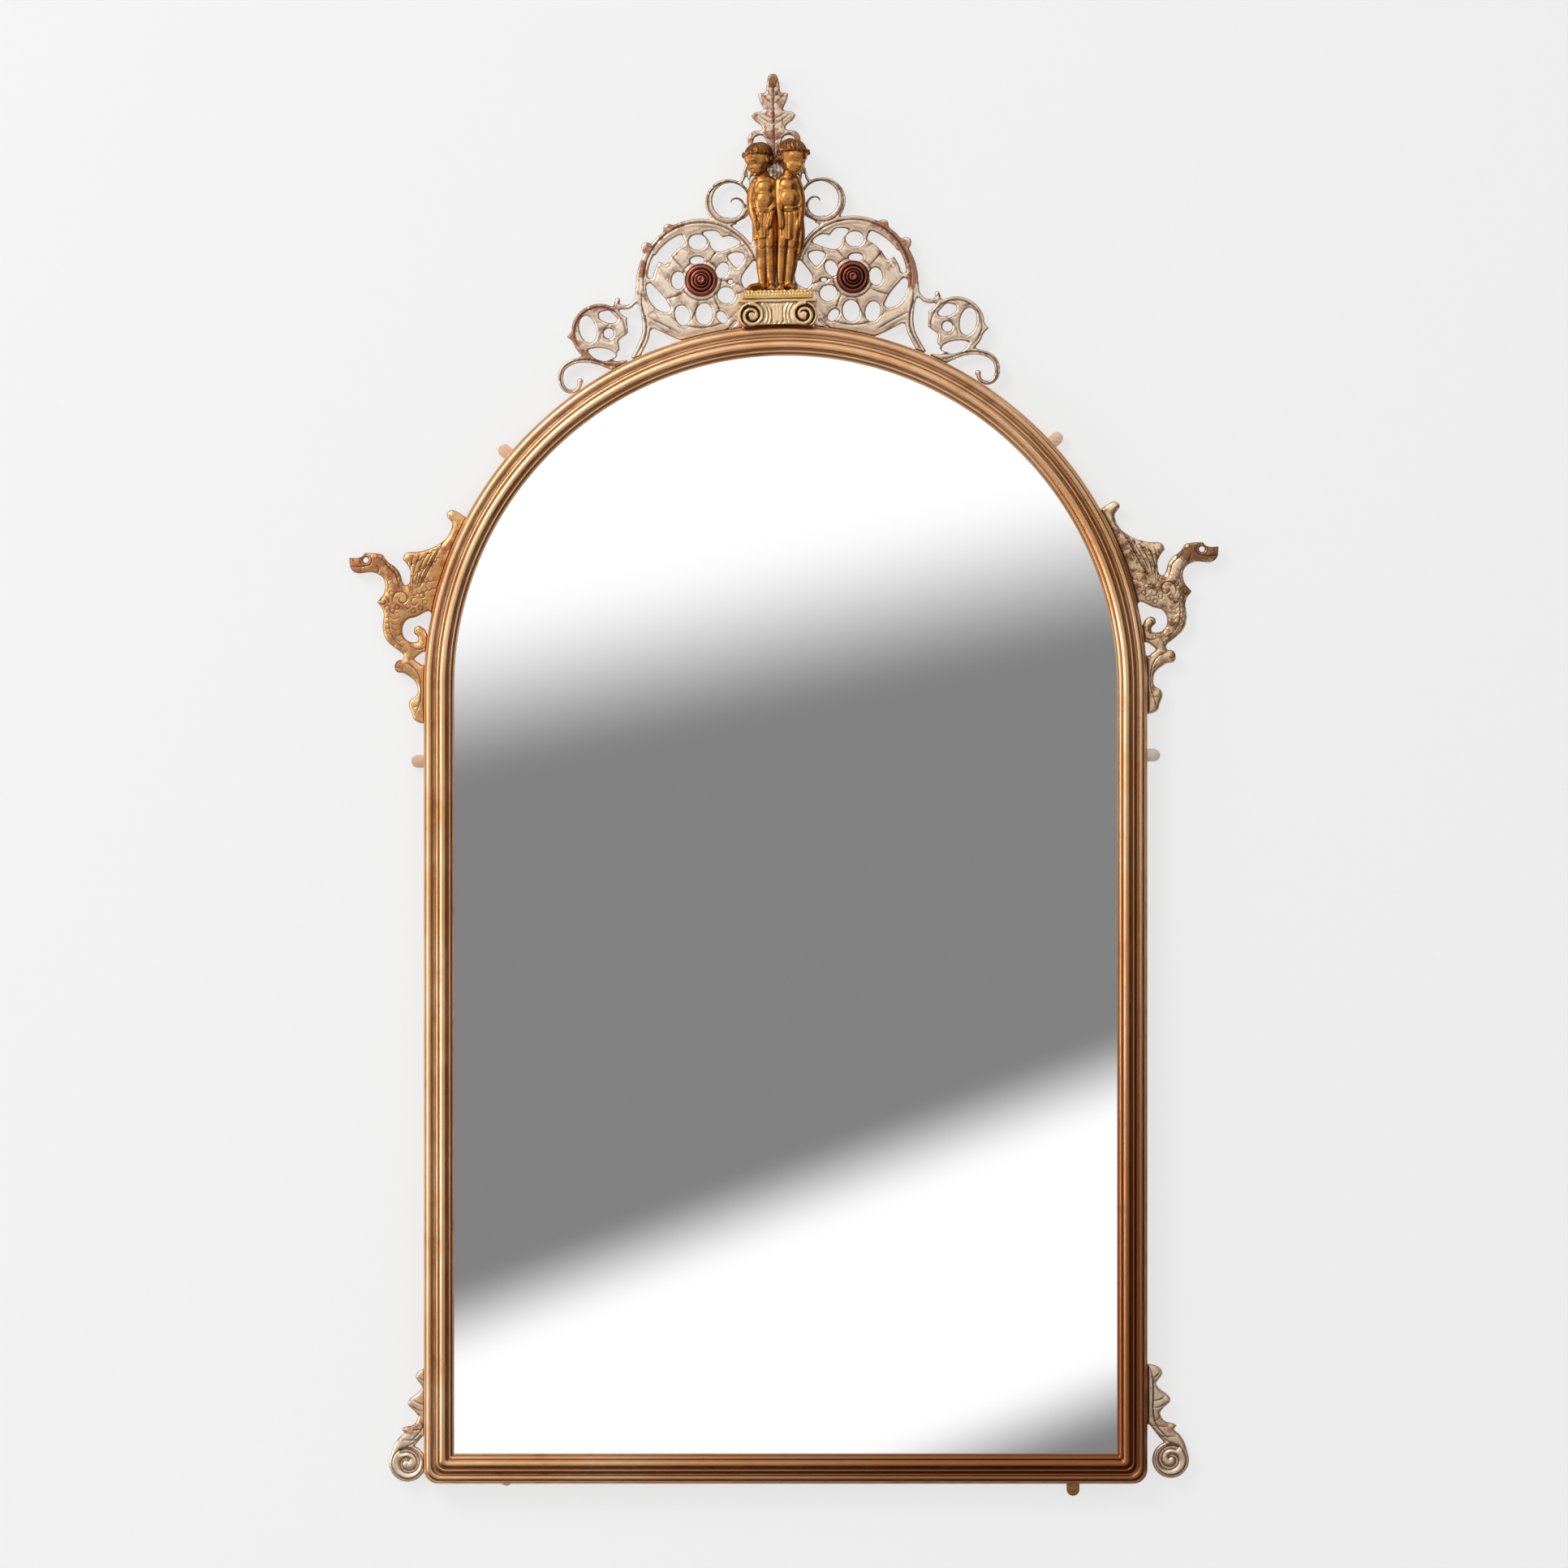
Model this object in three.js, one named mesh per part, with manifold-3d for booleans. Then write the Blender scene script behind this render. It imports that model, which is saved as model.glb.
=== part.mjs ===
// Arched pier mirror in patinated bronze, made to hang on a wall.
// Millimetres, +Z up. The mirror faces -Y and the wall is the plane y = 0.
// The origin is on the wall, on the centre line, at the height of the hangers,
// which is also the height of the centre of the arch.

import * as THREE from 'three'
import { mergeVertices } from 'three/addons/utils/BufferGeometryUtils.js'
import Module from 'manifold-3d'

const wasm = await Module()
wasm.setup()

// ---------- driving dimensions ----------

// opening of the frame
const SIGHT_R = 327 // half the width of the mirror that shows, and the radius of its arch
const SIGHT_DROP = 756 // from the centre of the arch down to the bottom of the mirror
const ARCH_STRAIGHT = 40 // straight length that the arch piece has below its half circle
const SILL_RISE = 45 // height of the upright ends of the bottom rail

// section of the moulding
const MOULD_W = 30 // from the sight edge to the outer edge
const REBATE_W = 10 // width of the rebate that holds the glass
const SIGHT_LIP = 1.8 // thickness of the moulding at the sight edge
const OUTER_WALL = 8 // height of the flat outer wall
const CORNER_SHARP = 0.5 // corner radius at the sight edge
const CORNER_ROUND = 14 // corner radius at the outer edge

// what lies in the rebate
const GLASS_T = 5
const FELT_T = 1
const BOARD_T = 5

// clearances
const FIT = 0.5 // round the glass and the backboard
const RUN = 0.3 // between pieces that turn or that lie close
const STANDOFF = 6 // from the back of the frame to the wall

// pierced ornament
const PLATE_T = 3 // thickness of the foot that is tucked behind the frame
const RELIEF_T = 3 // extra thickness of the part that shows
const FOOT_W = 15 // how far a foot reaches behind the frame
const CREST_TURN = 1.2 // degrees that the crest has slipped round the arch
const DRAGON_TURN = 0.75 // degrees that the side plates have slipped
const LOWER_SLIP = 7 // how much deeper the lower left plate is tucked in
const LOWER_DROP = 3.6 // and how much lower it hangs than the right one

// crest
const ROUNDEL_X = 75
const ROUNDEL_H = 46.5 // height of its centre above the top of the arch
const ROUNDEL_R = 61.5
const SMALL_X = 176
const SMALL_H = -3
const SMALL_R = 29
const BOSS_R = 16.5
const BOSS_RISE = 13
const STUD_R = 2.5

// capital, plinth and figures
const CAPITAL_W = 78.5
const CAPITAL_H = 25
const CAPITAL_D = 22
const VOLUTE_X = 25.6
const VOLUTE_R = 13.2
const PLINTH_W = 69
const PLINTH_H = 8
const PLINTH_D = 24
const FIGURE_H = 148
const FIGURE_D = 19

// turn buttons
const BUTTON_W = 12.7
const BUTTON_T = 2.5
const BUTTON_REACH = 13 // how far the outer end stands out past the frame
const BUTTON_REACH_WORN = 3 // the lower left one is shorter
const BUTTON_INNER = 23 // from the pivot to the inner end, which laps over the backboard
const PIVOT_U = 20 // from the sight edge to the pivot

// screws, hangers and bumpers
const SHANK_R = 1.6
const HEAD_R = 3.3
const HEAD_H = 1.7
const SCREW_L = 7 // length that goes into the frame
const HANGER_W = 14
const HANGER_L = 48
const HANGER_T = 1.5
const KEYHOLE_R = 4.5
const BUMPER_R = 8

// ---------- values that follow from them ----------

const BACK = -STANDOFF // plane of the back of the frame
const REBATE_D = GLASS_T + FELT_T + BOARD_T
const FRAME_R = SIGHT_R + MOULD_W
const LAND_MID = SIGHT_R + (REBATE_W + MOULD_W) / 2
const PIVOT_R = SIGHT_R + PIVOT_U
const PLATE_BACK = BACK + PLATE_T
const PLATE_FRONT = BACK - RELIEF_T
const BOTTOM = -(SIGHT_DROP + MOULD_W)
const rad = (degrees) => (degrees * Math.PI) / 180

// ---------- materials ----------

const finish = (color, roughness, metalness) => {
  return new THREE.MeshStandardMaterial({ color, roughness, metalness })
}
const FRAME_BRONZE = finish('#b87a4a', 0.38, 0.9)
const PALE_BRONZE = finish('#cdb58f', 0.5, 0.75)
const GOLD_BRONZE = finish('#b9782c', 0.35, 0.9)
const RED_BRONZE = finish('#5a2a1c', 0.4, 0.7)
const SIDE_BRONZE = finish('#b28a52', 0.45, 0.8)
const MIRROR = finish('#d8dcdc', 0.04, 1)
const FELT = finish('#3b3a36', 0.95, 0)
const BOARD = finish('#7d6348', 0.8, 0)
const STEEL = finish('#8b8a86', 0.45, 0.9)
const RUBBER = finish('#2a2927', 0.85, 0)

// ---------- solids ----------

// A closed geometry becomes a solid that can be joined and cut.
function solid(geometry) {
  const bare = geometry.clone()
  bare.deleteAttribute('normal')
  bare.deleteAttribute('uv')
  const merged = mergeVertices(bare)
  const vertices = merged.attributes.position
  const triangles = []
  let volume = 0
  const [a, b, c] = [new THREE.Vector3(), new THREE.Vector3(), new THREE.Vector3()]
  for (let i = 0; i < merged.index.count; i += 3) {
    const corners = [0, 1, 2].map((k) => merged.index.getX(i + k))
    if (new Set(corners).size < 3) continue
    triangles.push(corners)
    a.fromBufferAttribute(vertices, corners[0])
    b.fromBufferAttribute(vertices, corners[1])
    c.fromBufferAttribute(vertices, corners[2])
    volume += a.dot(b.cross(c))
  }
  if (volume < 0) triangles.forEach((corners) => corners.reverse())
  const mesh = new wasm.Mesh({
    numProp: 3,
    vertProperties: new Float32Array(vertices.array),
    triVerts: new Uint32Array(triangles.flat()),
  })
  return new wasm.Manifold(mesh)
}

function geometryOf(body) {
  const mesh = body.getMesh()
  const indexed = new THREE.BufferGeometry()
  indexed.setAttribute('position', new THREE.BufferAttribute(mesh.vertProperties, 3))
  indexed.setIndex(new THREE.BufferAttribute(mesh.triVerts, 1))
  const flat = indexed.toNonIndexed()
  flat.computeVertexNormals()
  return flat
}

const joined = (bodies) => bodies.reduce((sum, body) => sum.add(body))
const cut = (body, tools) => tools.reduce((rest, tool) => rest.subtract(tool), body)

// A copy of a solid on the other side of the centre line.
function mirrored(body) {
  return solid(geometryOf(body).scale(-1, 1, 1))
}

function turned(body, degrees) {
  return solid(geometryOf(body).rotateY(rad(-degrees)))
}

// An outline drawn in x and z, made as thick as from y = back to y = front.
function slab(shape, back, front, steps = 10) {
  const options = { depth: back - front, bevelEnabled: false, curveSegments: steps }
  const geometry = new THREE.ExtrudeGeometry(shape, options)
  return solid(geometry.rotateX(Math.PI / 2).translate(0, back, 0))
}

// A round bar along y.
function rod(x, z, radius, back, front, sides = 6) {
  const geometry = new THREE.CylinderGeometry(radius, radius, back - front, sides)
  return solid(geometry.translate(x, (back + front) / 2, z))
}

// A solid turned about y, from a profile of radius and height towards the front.
function turnedWork(profile, x, z, back, sides) {
  const points = profile.map(([r, h]) => new THREE.Vector2(r, back - h))
  return solid(new THREE.LatheGeometry(points, sides).translate(x, 0, z))
}

function boxSolid(x0, x1, y0, y1, z0, z1) {
  const geometry = new THREE.BoxGeometry(x1 - x0, y1 - y0, z1 - z0)
  return solid(geometry.translate((x0 + x1) / 2, (y0 + y1) / 2, (z0 + z1) / 2))
}

// ---------- outlines in x and z ----------

const polygon = (points) => new THREE.Shape(points.map(([x, z]) => new THREE.Vector2(x, z)))

function oval(x, z, rx, rz = rx, lean = 0, sides = 16) {
  const points = []
  for (let i = 0; i < sides; i += 1) {
    const a = (i / sides) * 2 * Math.PI
    const [u, v] = [rx * Math.cos(a), rz * Math.sin(a)]
    const [c, s] = [Math.cos(rad(lean)), Math.sin(rad(lean))]
    points.push([x + u * c - v * s, z + u * s + v * c])
  }
  return polygon(points)
}

// A curved strip round a centre, whose radius and width both change along it.
function scroll(x, z, [r0, r1], [a0, a1], [w0, w1], steps = 14) {
  const outer = []
  const inner = []
  for (let i = 0; i <= steps; i += 1) {
    const t = i / steps
    const a = rad(a0 + (a1 - a0) * t)
    const r = r0 + (r1 - r0) * t
    const half = (w0 + (w1 - w0) * t) / 2
    outer.push([x + (r + half) * Math.cos(a), z + (r + half) * Math.sin(a)])
    inner.unshift([x + (r - half) * Math.cos(a), z + (r - half) * Math.sin(a)])
  }
  return polygon([...outer, ...inner])
}

// A strip along a smooth curve through a few points, each given as x, z and width.
function strip(points, steps = 12) {
  const line = new THREE.CatmullRomCurve3(
    points.map(([x, z, w]) => new THREE.Vector3(x, z, w)), false, 'centripetal')
  const left = []
  const right = []
  for (let i = 0; i <= steps; i += 1) {
    const p = line.getPoint(i / steps)
    const way = line.getTangent(i / steps)
    const length = Math.hypot(way.x, way.y)
    const [nx, nz] = [(-way.y / length) * (p.z / 2), (way.x / length) * (p.z / 2)]
    left.push([p.x + nx, p.y + nz])
    right.unshift([p.x - nx, p.y - nz])
  }
  return polygon([...left, ...right])
}

// A closed outline: runs of points are joined by smooth curves, and each run ends in a corner.
function outline(runs, perPoint = 1.5) {
  const points = []
  runs.forEach((run, i) => {
    const next = runs[(i + 1) % runs.length][0]
    const spots = [...run, next].map(([x, z]) => new THREE.Vector3(x, z, 0))
    const line = new THREE.CatmullRomCurve3(spots, false, 'centripetal')
    const steps = spots.length > 2 ? Math.ceil((spots.length - 1) * perPoint) : 1
    for (let k = 0; k < steps; k += 1) {
      const p = line.getPoint(k / steps)
      points.push([p.x, p.y])
    }
  })
  return polygon(points)
}

// the runs of an outline, moved from round zero to round a centre
const around = (x, z, runs) => runs.map((run) => run.map(([u, v]) => [x + u, z + v]))

// ---------- frame ----------

const cornerRadius = (u) => CORNER_SHARP + ((CORNER_ROUND - CORNER_SHARP) * u) / MOULD_W

function arcRun(u, d, r, from, to, steps) {
  const points = []
  for (let i = 0; i <= steps; i += 1) {
    const a = rad(from + ((to - from) * i) / steps)
    points.push([u + r * Math.cos(a), d + r * Math.sin(a)])
  }
  return points
}

// u runs outwards from the sight edge and d forwards from the back of the frame:
// a fine bead, the main reed, a narrow reed, a hollow and the outer reed.
function mouldingSection() {
  const lip = REBATE_D + SIGHT_LIP
  return [
    [MOULD_W, 0],
    [REBATE_W, 0],
    [REBATE_W, REBATE_D],
    [0, REBATE_D],
    [0, lip],
    ...arcRun(4.2, lip + 1, 2, 150, 60, 1),
    ...arcRun(10.2, lip + 3.2, 4.6, 185, 25, 3),
    ...arcRun(15.9, lip + 4.3, 1.5, 160, 30, 1),
    [19.2, lip + 2.4],
    ...arcRun(24, lip + 1.2, 3.5, 150, 15, 3),
    [MOULD_W - 1.4, OUTER_WALL + 3],
    [MOULD_W, OUTER_WALL],
  ]
}

const section = mouldingSection()
const FRAME_T = Math.max(...section.map(([, d]) => d))

// Carries the section through a row of stations. A station gives x and z for each u.
function moulding(stations) {
  const positions = []
  const faces = []
  const n = section.length
  stations.forEach((station) => {
    section.forEach(([u, d]) => {
      const [x, z] = station(u)
      positions.push(x, BACK - d, z)
    })
  })
  for (let i = 0; i + 1 < stations.length; i += 1) {
    for (let k = 0; k < n; k += 1) {
      const [a, b] = [i * n + k, i * n + ((k + 1) % n)]
      faces.push(a, b, a + n, b, b + n, a + n)
    }
  }
  const contour = section.map(([u, d]) => new THREE.Vector2(u, d))
  const last = (stations.length - 1) * n
  // the two caps face away from each other
  THREE.ShapeUtils.triangulateShape(contour, []).forEach(([a, b, c]) => {
    faces.push(a, b, c, last + a, last + c, last + b)
  })
  const geometry = new THREE.BufferGeometry()
  geometry.setAttribute('position', new THREE.Float32BufferAttribute(positions, 3))
  geometry.setIndex(faces)
  return solid(geometry)
}

const onArch = (degrees) => (u) => {
  return [(SIGHT_R + u) * Math.cos(rad(degrees)), (SIGHT_R + u) * Math.sin(rad(degrees))]
}
const onStile = (side, z) => (u) => [side * (SIGHT_R + u), z]

// Rounds a lower corner. The arcs share their ends with the stile and the rail.
const onCorner = (side, degrees) => (u) => {
  const r = cornerRadius(u)
  const x = SIGHT_R + u - r + r * Math.cos(rad(degrees))
  return [side * x, -SIGHT_DROP - u + r - r * Math.sin(rad(degrees))]
}

const SILL_TOP = BOTTOM + SILL_RISE
const ARCH_STEP = 6 // degrees between the stations of the arch
const CORNER_STEP = 22.5

function frameArch() {
  const stations = [onStile(1, -ARCH_STRAIGHT)]
  for (let a = 0; a <= 180; a += ARCH_STEP) stations.push(onArch(a))
  stations.push(onStile(-1, -ARCH_STRAIGHT))
  return moulding(stations)
}

const frameStile = (side) => moulding([onStile(side, -ARCH_STRAIGHT), onStile(side, SILL_TOP)])

function frameBottomRail() {
  const stations = [onStile(-1, SILL_TOP)]
  for (let a = 0; a <= 90; a += CORNER_STEP) stations.push(onCorner(-1, a))
  for (let a = 90; a >= 0; a -= CORNER_STEP) stations.push(onCorner(1, a))
  stations.push(onStile(1, SILL_TOP))
  return moulding(stations)
}

// The solid that ornament in front of the back of the frame has to keep clear of.
function frameClearance(front, slip = 0) {
  const r = FRAME_R + RUN
  const shape = new THREE.Shape()
  shape.moveTo(-r, BOTTOM - RUN)
  shape.lineTo(r, BOTTOM - RUN)
  shape.lineTo(r, 0)
  shape.absarc(0, 0, r, 0, Math.PI)
  return turned(slab(shape, BACK, front, 180 / ARCH_STEP), -slip)
}

// ---------- glass, felt and backboard ----------

function archedSheet(back, front) {
  const grow = REBATE_W - FIT
  const [r, low] = [SIGHT_R + grow, -(SIGHT_DROP + grow)]
  const round = cornerRadius(REBATE_W) + FIT
  const corner = (side, from, to) => {
    return arcRun(side * (r - round), low + round, round, from, to, 3)
  }
  const arch = arcRun(0, 0, r, 0, 180, 180 / ARCH_STEP)
  return slab(polygon([...corner(-1, 180, 270), ...corner(1, 270, 360), ...arch]), back, front)
}

const GLASS_BACK = BACK - BOARD_T - FELT_T
const FELT_BACK = BACK - BOARD_T

// ---------- crest ----------

// The crest is drawn in x from its own centre line and in height above the top of the arch.
// Half of it is drawn, from the centre line outwards.

function leafOutline() {
  const half = [
    [[0, 249.6], [4.4, 247.6], [6.6, 240], [7.6, 230.4]],
    [[11, 230.6], [15.5, 229.8]],
    [[14, 223], [11, 216.6], [8.6, 213]],
    [[13, 212.6], [18.6, 211.6], [22.6, 208.2]],
    [[19.4, 203], [14, 199], [11.2, 195.6]],
    [[13, 194], [20, 193.2], [25, 189.4], [26.6, 184], [25.6, 176]],
    [[20.4, 176], [20, 184], [16.4, 187.6], [11.6, 188], [8.6, 184], [6, 174]],
    [[6, 150], [0, 150]],
  ]
  return outline(half, 1)
}

// the ring that stands on the roundel beside the figures
const UPPER_SCROLL = [
  ROUNDEL_X + (ROUNDEL_R + 20.2) * Math.cos(rad(110.5)),
  ROUNDEL_H + (ROUNDEL_R + 20.2) * Math.sin(rad(110.5)),
]

// what shows of the crest as solid metal, before it is pierced
function crestMetal() {
  const [rx, rh, sx, sh] = [ROUNDEL_X, ROUNDEL_H, SMALL_X, SMALL_H]
  const end = ROUNDEL_X + ROUNDEL_R
  const knob = (degrees, r) => {
    return oval(rx + r * Math.cos(rad(degrees)), rh + r * Math.sin(rad(degrees)), 6.6, 6, 90 - degrees, 8)
  }
  return [
    leafOutline(),
    oval(rx, rh, ROUNDEL_R, ROUNDEL_R, 0, 32),
    scroll(rx, rh, [ROUNDEL_R - 4.5, ROUNDEL_R - 1], [40, -14], [9, 11], 8),
    knob(59.1, ROUNDEL_R - 2.1),
    knob(31.9, ROUNDEL_R + 0.9),
    strip([[end - 2, 40, 12], [end - 2.5, 22, 13], [end - 6.5, 6, 9.5], [end - 4.5, -10, 9],
      [143, -30, 8]], 8),
    strip([[92, -8, 22], [112, 4, 22], [end - 6.5, 12, 16]], 3),
    strip([[end + 2.5, 30, 4], [144, 23.4, 5], [152, 21.4, 5.4], [sx - 14, sh + 26.6, 6]], 5),
    oval(sx - 18, sh + 31.4, 3.2, 3.2, 0, 8),
    oval(sx, sh, SMALL_R, SMALL_R, 0, 22),
    polygon([[sx + 24, sh + 7], [sx + 33.4, sh - 3.4], [sx + 25, sh - 11]]),
    polygon([[sx - 23, sh + 17], [sx - 32.8, sh + 12.6], [sx - 24, sh + 5]]),
    strip([[150, -37, 14], [168, -35, 8], [184, -30, 7], [201, -30.4, 6.4], [213.4, -38, 6.2],
      [215.4, -52, 6], [209, -60, 5], [199.6, -58.6, 5], [196.6, -52, 5.4]], 15),
    oval(196.6, -50.6, 3.5, 3.5, 0, 8),
    oval(...UPPER_SCROLL, 23.4, 23.4, 0, 22),
    strip([[38, 139.6, 4.4], [31.6, 145.4, 3.8], [29.6, 154, 3.4], [24, 166, 5]], 6),
    polygon([[-1, -14], [24, -14], [24, 132], [27, 150], [20, 170], [-1, 170]]),
  ]
}

// what is pierced through: crescents round the flower, the petals, the rings and the gaps
function crestHoles() {
  const [rx, rh] = [ROUNDEL_X, ROUNDEL_H]
  const end = ROUNDEL_X + ROUNDEL_R
  const crescents = [
    scroll(rx, rh, [ROUNDEL_R - 17, ROUNDEL_R - 17], [68, 26], [9, 13], 7),
    scroll(rx, rh, [ROUNDEL_R - 12.5, ROUNDEL_R - 11], [30, 4], [7, 4], 4),
    strip([[end - 9.5, 44, 4], [end - 14, 34, 11], [end - 21.5, 24, 12], [end - 29.5, 17.4, 4]], 7),
  ]
  // petals and leaves, measured from the centre of the roundel: centre, half sizes, lean
  const petals = [
    [22.6, 0.5, 6, 8.6, 6], [3.4, 19.5, 7, 3.6, 0], [2.6, 37.9, 8.8, 7, 0],
    [-21, 9.5, 5.4, 8, 28], [-24.4, -15.1, 8.4, 7.4, 10], [-2.4, -33.1, 7.8, 10.6, 4],
    [19, -34.1, 6.8, 10, -14], [-20, -36.9, 4, 6.6, -38],
  ].map(([x, h, wide, high, lean]) => oval(rx + x, rh + h, wide, high, lean, 8))
  const slits = [
    [[[-2, 47.5], [-15, 48.1], [-22, 41.5], [-30, 42.5]],
      [[-40.4, 36.5], [-29, 31.5], [-18, 28.7], [-12, 31.5], [-9, 39.5]]],
    [[[-26.6, 23.9], [-35, 26.5], [-43, 24.9]], [[-42, 19.5], [-36, 11.5], [-31, 16.5]]],
    [[[-53, 19.1], [-41.4, 3.5], [-41.2, -4.5], [-45.6, -10.1]], [[-55, -4.5], [-57.6, 7.5]]],
    [[[-33, -40.5], [-22, -51.5]], [[-25.6, -51.1], [-34.4, -41.9]]],
    [[[-25, -1.9], [-29, 0.1]], [[-33, -1.9], [-29, -3.9]]],
  ].map((runs) => outline(around(rx, rh, runs), 1))
  const [sx, sh] = [SMALL_X, SMALL_H]
  const smallRing = [
    oval(sx + 12, sh + 3.6, 7.6, 13.6, -12, 9),
    oval(sx - 8.6, sh - 1, 4.6, 5, 20, 7),
    outline(around(sx, sh, [[[0, 19.6], [-9, 21.6], [-17.4, 13]], [[-16, 10], [-8, 10], [0, 14]]]), 1),
    outline(around(sx, sh, [[[13, -17], [2, -15.6], [-10, -18], [-16, -24]],
      [[-6, -27.6], [5, -25]]]), 1),
  ]
  const gaps = [
    oval(UPPER_SCROLL[0] - 1.8, UPPER_SCROLL[1] + 1.6, 17.2, 17.2, 0, 18),
    outline([[[27.2, 131], [24, 146], [20.6, 150]], [[18, 140], [22, 130]]], 1),
    outline([[[40, 102], [27, 107]], [[26, 96], [30, 96.4]]]),
    polygon([[124, 0], [95, -13], [137, -28.6], [128.6, -14]]),
    outline([[[138.4, 25.6], [148, 17]], [[148.6, 8], [147.6, -4], [157.6, -11.4]],
      [[156.6, -20], [160, -24]], [[156, -28], [144, -22.4], [136.6, -9], [134.4, 4], [136, 18]]], 1),
  ]
  return [...crescents, ...petals, ...slits, ...smallRing, ...gaps]
}

// the curl that stands inside the upper scroll
const crestCurl = () => {
  const [x, h] = UPPER_SCROLL
  return scroll(x - 4.8, h - 2.2, [16, 2.6], [-62, -330], [4.4, 2.4], 11)
}

// The foot of the crest follows the arch behind the moulding.
function crestFoot() {
  const r = FRAME_R - FOOT_W / 2 - 0.4
  return scroll(0, 0, [r, r], [61, 119], [FOOT_W, FOOT_W], 10)
}

const CREST_SCREWS = [68, 82, 98, 112] // degrees round the arch, before the slip

function screwSpots(angles, slip) {
  const r = FRAME_R - FOOT_W / 2
  return angles.map((a) => [r * Math.cos(rad(a + slip)), r * Math.sin(rad(a + slip))])
}

const shankHole = (back, front) => ([x, z]) => rod(x, z, SHANK_R + RUN, back, front)
const CUT_OVER = 1 // how far a cutting tool reaches past the face that it cuts

function crestPlate() {
  const thick = (shape) => slab(shape, PLATE_BACK, PLATE_FRONT)
  const through = (shape) => slab(shape, PLATE_BACK + CUT_OVER, PLATE_FRONT - CUT_OVER)
  const lifted = (body) => solid(geometryOf(body).translate(0, 0, FRAME_R))
  const pierced = cut(joined(crestMetal().map(thick)), crestHoles().map(through))
  const half = pierced.add(thick(crestCurl()))
  const whole = joined([lifted(half), mirrored(lifted(half)), thick(crestFoot())])
  const below = slab(oval(0, 0, FRAME_R - FOOT_W - 0.4, FRAME_R - FOOT_W - 0.4, 0, 60),
    PLATE_BACK + CUT_OVER, PLATE_FRONT - CUT_OVER)
  const studs = [1, -1].map((side) => {
    const [x, z] = [side * ROUNDEL_X, FRAME_R + ROUNDEL_H]
    return rod(x, z, STUD_R + RUN, 0, PLATE_FRONT - CUT_OVER, 16)
  })
  const screws = screwSpots(CREST_SCREWS, 0).map(shankHole(0, BACK - CUT_OVER))
  const frame = frameClearance(PLATE_FRONT - CUT_OVER, CREST_TURN)
  return cut(whole, [below, frame, ...studs, ...screws])
}

// Turned boss: four rings that step up to a button, and a stud through the crest.
function boss(side) {
  const steps = [
    [0, 0], [STUD_R, 0], [STUD_R, PLATE_T + RELIEF_T], [BOSS_R, PLATE_T + RELIEF_T],
  ]
  const rings = [[1, 0.14], [0.92, 0.36], [0.78, 0.3], [0.64, 0.46], [0.54, 0.58],
    [0.46, 0.48], [0.36, 0.7], [0.22, 0.94], [0, 1]]
  const crown = rings.map(([r, h]) => [r * BOSS_R, PLATE_T + RELIEF_T + h * BOSS_RISE])
  return turnedWork([...steps, ...crown], side * ROUNDEL_X, FRAME_R + ROUNDEL_H, PLATE_BACK, 16)
}

// ---------- capital, plinth and figures ----------

function capital() {
  const low = FRAME_R - 4
  const high = FRAME_R + CAPITAL_H
  const front = PLATE_FRONT - CAPITAL_D
  const eye = high - VOLUTE_R - 2.6
  const parts = [
    slab(polygon([[-CAPITAL_W / 2, high], [CAPITAL_W / 2, high], [CAPITAL_W / 2 - 1, high - 3],
      [-CAPITAL_W / 2 + 1, high - 3]]), PLATE_FRONT, front),
    boxSolid(-VOLUTE_X, VOLUTE_X, front + 2, PLATE_FRONT, low, high - 2),
    slab(polygon([[-VOLUTE_X - 9, low], [VOLUTE_X + 9, low], [VOLUTE_X + 9, eye], [-VOLUTE_X - 9, eye]]),
      PLATE_FRONT, front + 5),
  ]
  const cuts = [frameClearance(front - CUT_OVER, CREST_TURN)]
  for (let i = -2; i <= 2; i += 1) {
    cuts.push(rod(i * 4.6, low + 6, 1.8, front + 2.8, front - 4, 6))
    const flute = boxSolid(i * 4.6 - 1.4, i * 4.6 + 1.4, front - 4, front + 3.2, low + 6, high - 8)
    cuts.push(flute)
  }
  ;[1, -1].forEach((side) => {
    parts.push(slab(oval(side * VOLUTE_X, eye, VOLUTE_R, VOLUTE_R, 0, 18), PLATE_FRONT, front + 1.6))
    const turnOf = side > 0 ? [80, 620] : [100, -440]
    parts.push(slab(scroll(side * VOLUTE_X, eye, [VOLUTE_R - 1.5, 3.6], turnOf, [3, 2], 14),
      front + 2, front))
    parts.push(slab(oval(side * VOLUTE_X, eye, 3.2, 3.2, 0, 8), front + 2, front))
  })
  return cut(joined(parts), cuts)
}

const PLINTH_LOW = FRAME_R + CAPITAL_H + RUN

function plinth() {
  const [low, high] = [PLINTH_LOW, PLINTH_LOW + PLINTH_H]
  const [w, d] = [PLINTH_W / 2, PLATE_FRONT - PLINTH_D]
  const lower = boxSolid(-w, w, d, PLATE_FRONT, low, low + PLINTH_H * 0.45)
  const upper = boxSolid(-w + 4, w - 4, d + 2, PLATE_FRONT, low, high)
  return lower.add(upper)
}

const FEET_AT = PLINTH_LOW + PLINTH_H + RUN

// An egg-shaped part of a figure: centre, then half sizes.
function lump(x, y, z, rx, ry, rz, sides) {
  const geometry = new THREE.SphereGeometry(1, sides, Math.round(sides * 0.6))
  return solid(geometry.rotateX(Math.PI / 2).scale(rx, ry, rz).translate(x, y, z))
}

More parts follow.
